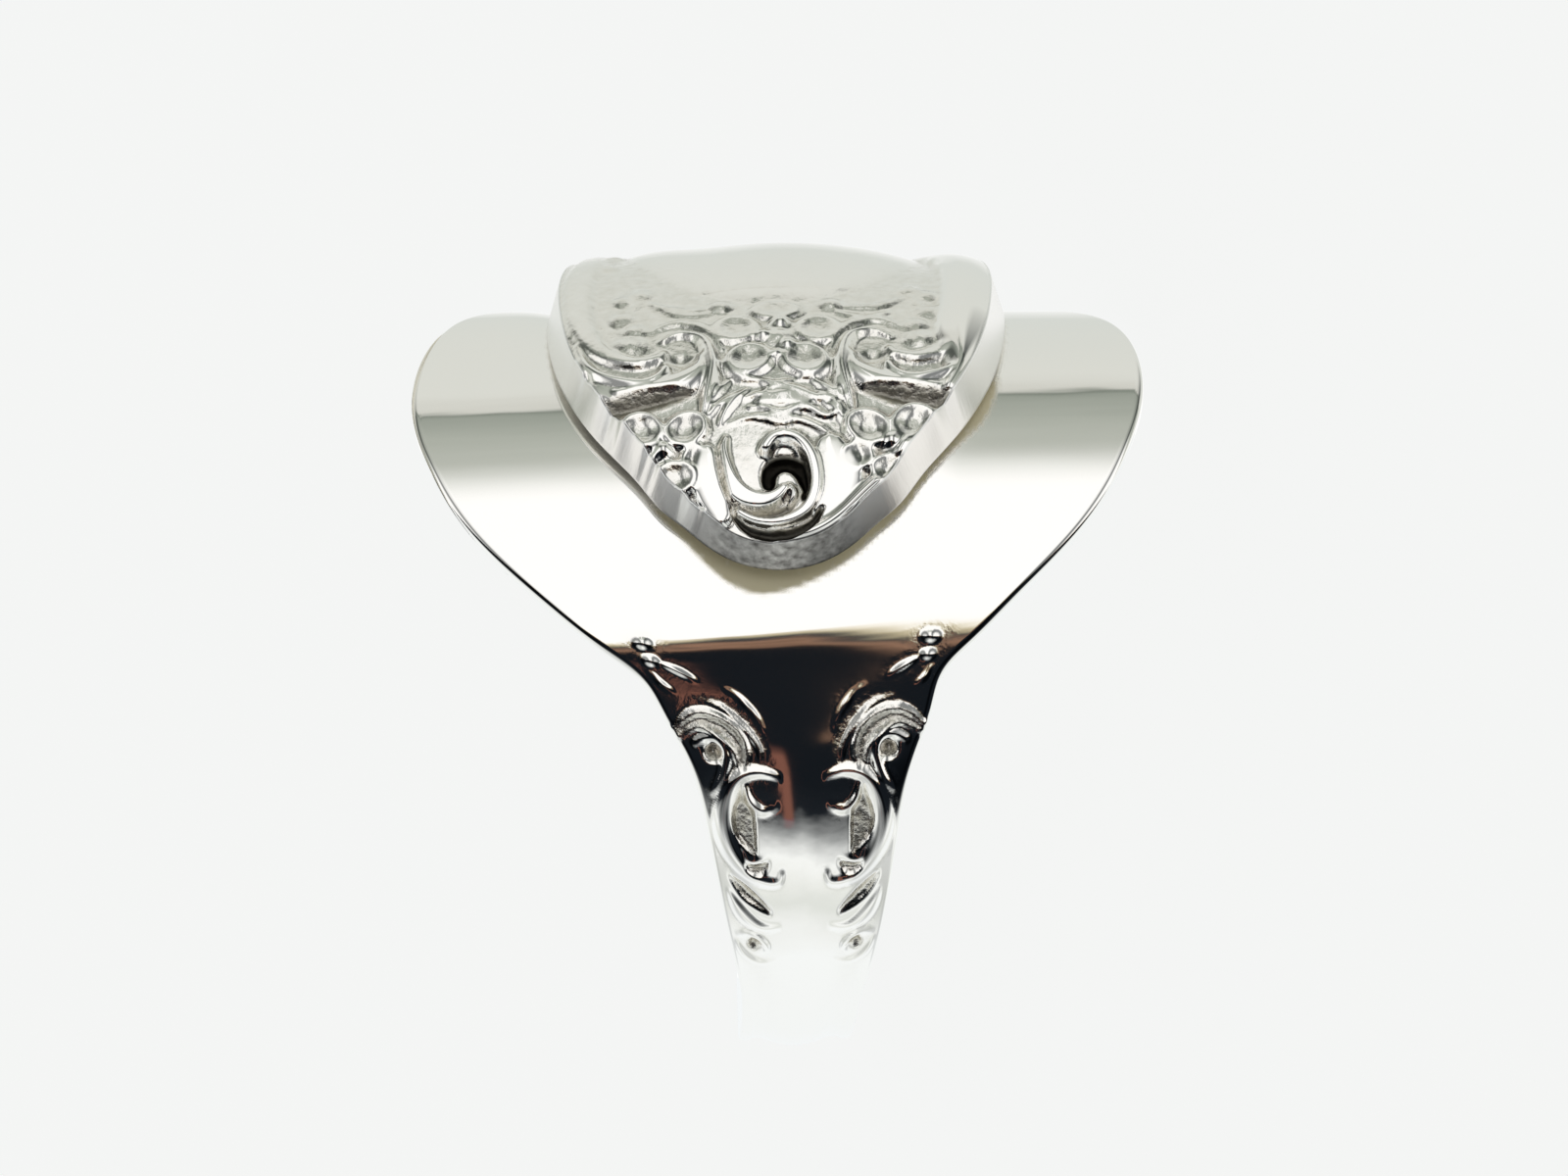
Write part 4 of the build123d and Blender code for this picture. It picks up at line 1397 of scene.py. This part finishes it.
@dataclass(frozen=True)
class Surroundings:
    """What the silver reflects, by the direction round the ring's own axis, and the pale paper under it.

    Shifts are shares of a whole turn. The bands wander by `wobble` and `ripple`, slant by `tilt` and bend
    by `arch` as the direction leaves the ring's middle plane. `glow` is the strength of what is
    reflected and `floor_glow` the share of the paper that shines by itself.
    """

    paper: str = "#F6F7F6"
    warm: str = "#7A5145"
    glow: float = 1.07
    floor_radius: float = 0.5
    floor_glow: float = 0.96
    wobble: float = 0.02
    ripple: float = 0.006
    tilt: float = 0.03
    arch: float = 0.1
    arch_end: float = 0.06

    # Directions in degrees as on the ring, and colours
    STOPS: ClassVar[Stops] = (
        (-180.0, "#EDF0F1"), (-95.0, "#F1F5F7"), (-82.0, "#EBEEEE"), (-70.0, "#DBDFDC"), (-62.0, "#E7EAE8"),
        (-50.0, "#F2F5F5"), (-37.0, "#9A9D9E"), (-27.0, "#1B1F24"), (-16.0, "#14181D"),
        (9.6, "#14181D"), (10.0, "#B98F74"), (10.6, "#CFA98A"), (10.9, "#20262B"), (12.2, "#3B4248"),
        (12.8, "#D9CBA6"), (13.8, "#E9E0C4"), (14.4, "#FFFFFF"), (47.0, "#FFFFFF"), (52.0, "#F0F2F1"),
        (58.0, "#D9DDD9"), (64.0, "#C8CDC6"), (72.0, "#B5B9B2"), (84.0, "#A8ADA5"), (95.5, "#959B93"),
        (96.6, "#787F77"), (97.6, "#787F77"), (98.4, "#CBCCC6"), (106.0, "#D5D7D2"), (150.0, "#D0D4D0"),
        (179.9, "#FFFFFF"),
    )
    # Shades from far left, 0, to far right, 1, that darken the bands in front
    SHADES: ClassVar[Stops] = (
        (0.12, "#FFFFFF"), (0.22, "#8A8C8C"), (0.3, "#8A8C8C"), (0.39, "#FFFFFF"),
        (0.59, "#FFFFFF"), (0.65, "#7E8182"), (0.73, "#7E8182"), (0.83, "#FFFFFF"),
    )
    # Where the warm streak on the neck lies, left of the middle at 0.5
    STREAK: ClassVar[Stops] = (
        (0.0, "#000000"), (0.42, "#000000"), (0.435, "#FFFFFF"), (0.462, "#FFFFFF"), (0.472, "#000000"),
    )

    def world(self, seat: RingSeat) -> bpy.types.World:
        """Builds the world: plain paper to the camera, and to the metal a band of colours round the ring
        that wanders a little, darkened towards the ring's sides.

        Args:
            seat: Where the ring lies.

        Returns:
            The world.
        """
        world = bpy.data.worlds.new("light_tent")
        nodes = Nodes(world)
        way = nodes.add("ShaderNodeTexCoord").outputs["Generated"]
        front, top, side = (
            nodes.vector("DOT_PRODUCT", "Value", {0: way, 1: tuple(axis)})
            for axis in (seat.front, seat.top, seat.across)
        )
        turn = nodes.calc("ARCTAN2", top, front)
        aslope = nodes.calc("MINIMUM", nodes.calc("ABSOLUTE", side), self.arch_end)
        share = nodes.span(turn, -math.pi, math.pi)
        share = nodes.calc("ADD", share, self._shift(nodes, way, side, aslope))
        bands = nodes.ramp(share, tuple(((angle + 180.0) / 360.0, colour) for angle, colour in self.STOPS))
        bands = nodes.mix(self._glare(nodes, turn, aslope), bands, linear("#FFFFFF"))
        shades = nodes.ramp(nodes.calc("MULTIPLY_ADD", side, 0.5, 0.5), self.SHADES)
        seen = nodes.mix(self._shaded(nodes, turn, front), bands, shades, "MULTIPLY")
        seen = nodes.mix(self._streak(nodes, way, turn, side), seen, linear(self.warm), "LIGHTEN")
        glow = nodes.add("ShaderNodeBackground", {"Color": seen, "Strength": self.glow}).outputs[0]
        plain = nodes.add("ShaderNodeBackground", {"Color": linear(self.paper)}).outputs[0]
        ray = nodes.add("ShaderNodeLightPath").outputs["Is Camera Ray"]
        both = nodes.add("ShaderNodeMixShader", {0: ray, 1: glow, 2: plain})
        nodes.add("ShaderNodeOutputWorld", {"Surface": both.outputs[0]})
        return world

    def _shift(self, nodes: Nodes, way: Socket, side: Socket, aslope: Socket) -> Socket:
        """How far round the bands are shifted: slow and quick noise, the slant and the arch.

        Args:
            nodes: Nodes of the world.
            way: Direction that the metal mirrors.
            side: How far it points along the finger.
            aslope: How far it slants off the middle plane, up to the arch's end.

        Returns:
            The shift, as a share of the whole turn.
        """
        slow = nodes.span(nodes.noise(way, 4.0, 3.0), 0.0, 1.0, -self.wobble, self.wobble)
        quick = nodes.span(nodes.noise(way, 24.0, 2.0), 0.0, 1.0, -self.ripple, self.ripple)
        shift = nodes.calc("MULTIPLY_ADD", side, self.tilt, nodes.calc("ADD", slow, quick))
        return nodes.calc("MULTIPLY_ADD", aslope, self.arch, shift)

    def _glare(self, nodes: Nodes, turn: Socket, aslope: Socket) -> Socket:
        """Share of white light over the front, which reaches 19 degrees higher in the middle plane.

        Args:
            nodes: Nodes of the world.
            turn: Angle of the mirrored direction round the finger, in radians.
            aslope: How far it slants off the middle plane, up to the arch's end.

        Returns:
            The share.
        """
        higher = nodes.span(aslope, 0.02, 0.043, math.radians(-19.0), 0.0)
        upper, full, lower = (math.radians(angle) for angle in (74.0, 55.0, 14.5))
        lowered = nodes.calc("ADD", turn, higher)
        glare = nodes.span(lowered, upper, full, interpolation_type="SMOOTHSTEP")
        return nodes.calc("MULTIPLY", glare, nodes.calc("GREATER_THAN", turn, lower))

    def _shaded(self, nodes: Nodes, turn: Socket, front: Socket) -> Socket:
        """Share of the side shades: none behind the ring, and less low down in front.

        Args:
            nodes: Nodes of the world.
            turn: Angle of the mirrored direction round the finger, in radians.
            front: How far it points to the front.

        Returns:
            The share.
        """
        ahead = nodes.span(front, -0.45, -0.1)
        raised = nodes.span(turn, math.radians(-50.0), math.radians(-24.0), 0.4, 1.0)
        return nodes.calc("MULTIPLY", ahead, raised)

    def _streak(self, nodes: Nodes, way: Socket, turn: Socket, side: Socket) -> Socket:
        """Share of the broken warm streak that the dark neck shows.

        Args:
            nodes: Nodes of the world.
            way: Direction that the metal mirrors.
            turn: Its angle round the finger, in radians.
            side: How far it points along the finger.

        Returns:
            The share.
        """
        patch = nodes.span(nodes.noise(way, 2.6, 1.0), 0.36, 0.43)
        streak = nodes.ramp(nodes.calc("ADD", side, 0.5), self.STREAK)
        low = nodes.span(turn, math.radians(4.0), 0.0)
        return nodes.calc("MULTIPLY", patch, nodes.calc("MULTIPLY", streak, low))

    def floor(self) -> None:
        """Builds a round sheet of paper under the ring, which the metal doesn't mirror."""
        count = 96
        turns = np.linspace(0.0, 2.0 * np.pi, count, endpoint=False)
        rim = np.stack([np.cos(turns), np.sin(turns), np.zeros(count)], axis=1) * self.floor_radius
        mesh = bpy.data.meshes.new("paper")
        mesh.from_pydata(rim.tolist(), [], [list(range(count))])
        sheet = bpy.data.objects.new("paper", mesh)
        bpy.context.scene.collection.objects.link(sheet)
        material = bpy.data.materials.new("matte_paper")
        nodes = Nodes(material)
        matte = nodes.add("ShaderNodeBsdfDiffuse", {"Color": linear(self.paper)}).outputs[0]
        glow = nodes.add("ShaderNodeEmission", {"Color": linear(self.paper)}).outputs[0]
        both = nodes.add("ShaderNodeMixShader", {0: self.floor_glow, 1: matte, 2: glow})
        nodes.add("ShaderNodeOutputMaterial", {"Surface": both.outputs[0]})
        mesh.materials.append(material)
        sheet.visible_glossy = False


@dataclass(frozen=True)
class View:
    """The photograph's camera: straight in front of the finger's axis, with its picture shifted and rolled
    a little. Distances are in metres, the lens and sensor in millimetres and the roll in degrees."""

    distance: float = 0.1
    lens: float = 79.4
    sensor: float = 36.0
    shift: float = 0.0484
    roll: float = 1.4
    nearest: float = 0.005
    farthest: float = 5.0

    def camera(self, seat: RingSeat) -> bpy.types.Object:
        """Builds the camera.

        Args:
            seat: Where the ring lies.

        Returns:
            The camera.
        """
        turn = math.radians(self.roll)
        up = seat.top * math.cos(turn) + seat.across * math.sin(turn)
        right = np.cross(-seat.front, up)
        data = bpy.data.cameras.new("camera")
        data.lens, data.sensor_width, data.shift_y = self.lens, self.sensor, self.shift
        data.clip_start, data.clip_end = self.nearest, self.farthest
        camera = bpy.data.objects.new("camera", data)
        bpy.context.scene.collection.objects.link(camera)
        axes = np.column_stack([right, up, seat.front])
        where = Vector(seat.centre + seat.front * self.distance)
        camera.matrix_world = Matrix.Translation(where) @ Matrix(axes.tolist()).to_4x4()
        return camera


def main() -> None:
    """Builds the ring, its stage and its camera."""
    logging.basicConfig(level=logging.INFO, format="%(name)s: %(message)s")
    seat = RingSeat.from_record(frame["record"])
    made = {silver.name: silver.material() for silver in (POLISHED, FILED, SATIN)}
    for part, sides in ((BowlAndNeck(), POLISHED), (StemAndTerminal(), FILED)):
        piece = part.build(seat)
        for finish in (POLISHED, sides, SATIN):
            piece.data.materials.append(made[finish.name])
        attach(piece, "root")
        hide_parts("spoon_ring")
    around = Surroundings()
    around.floor()
    scene = bpy.context.scene
    scene.world = around.world(seat)
    scene.camera = View().camera(seat)
    scene.view_settings.view_transform = "Standard"


if __name__ == "__main__":
    main()
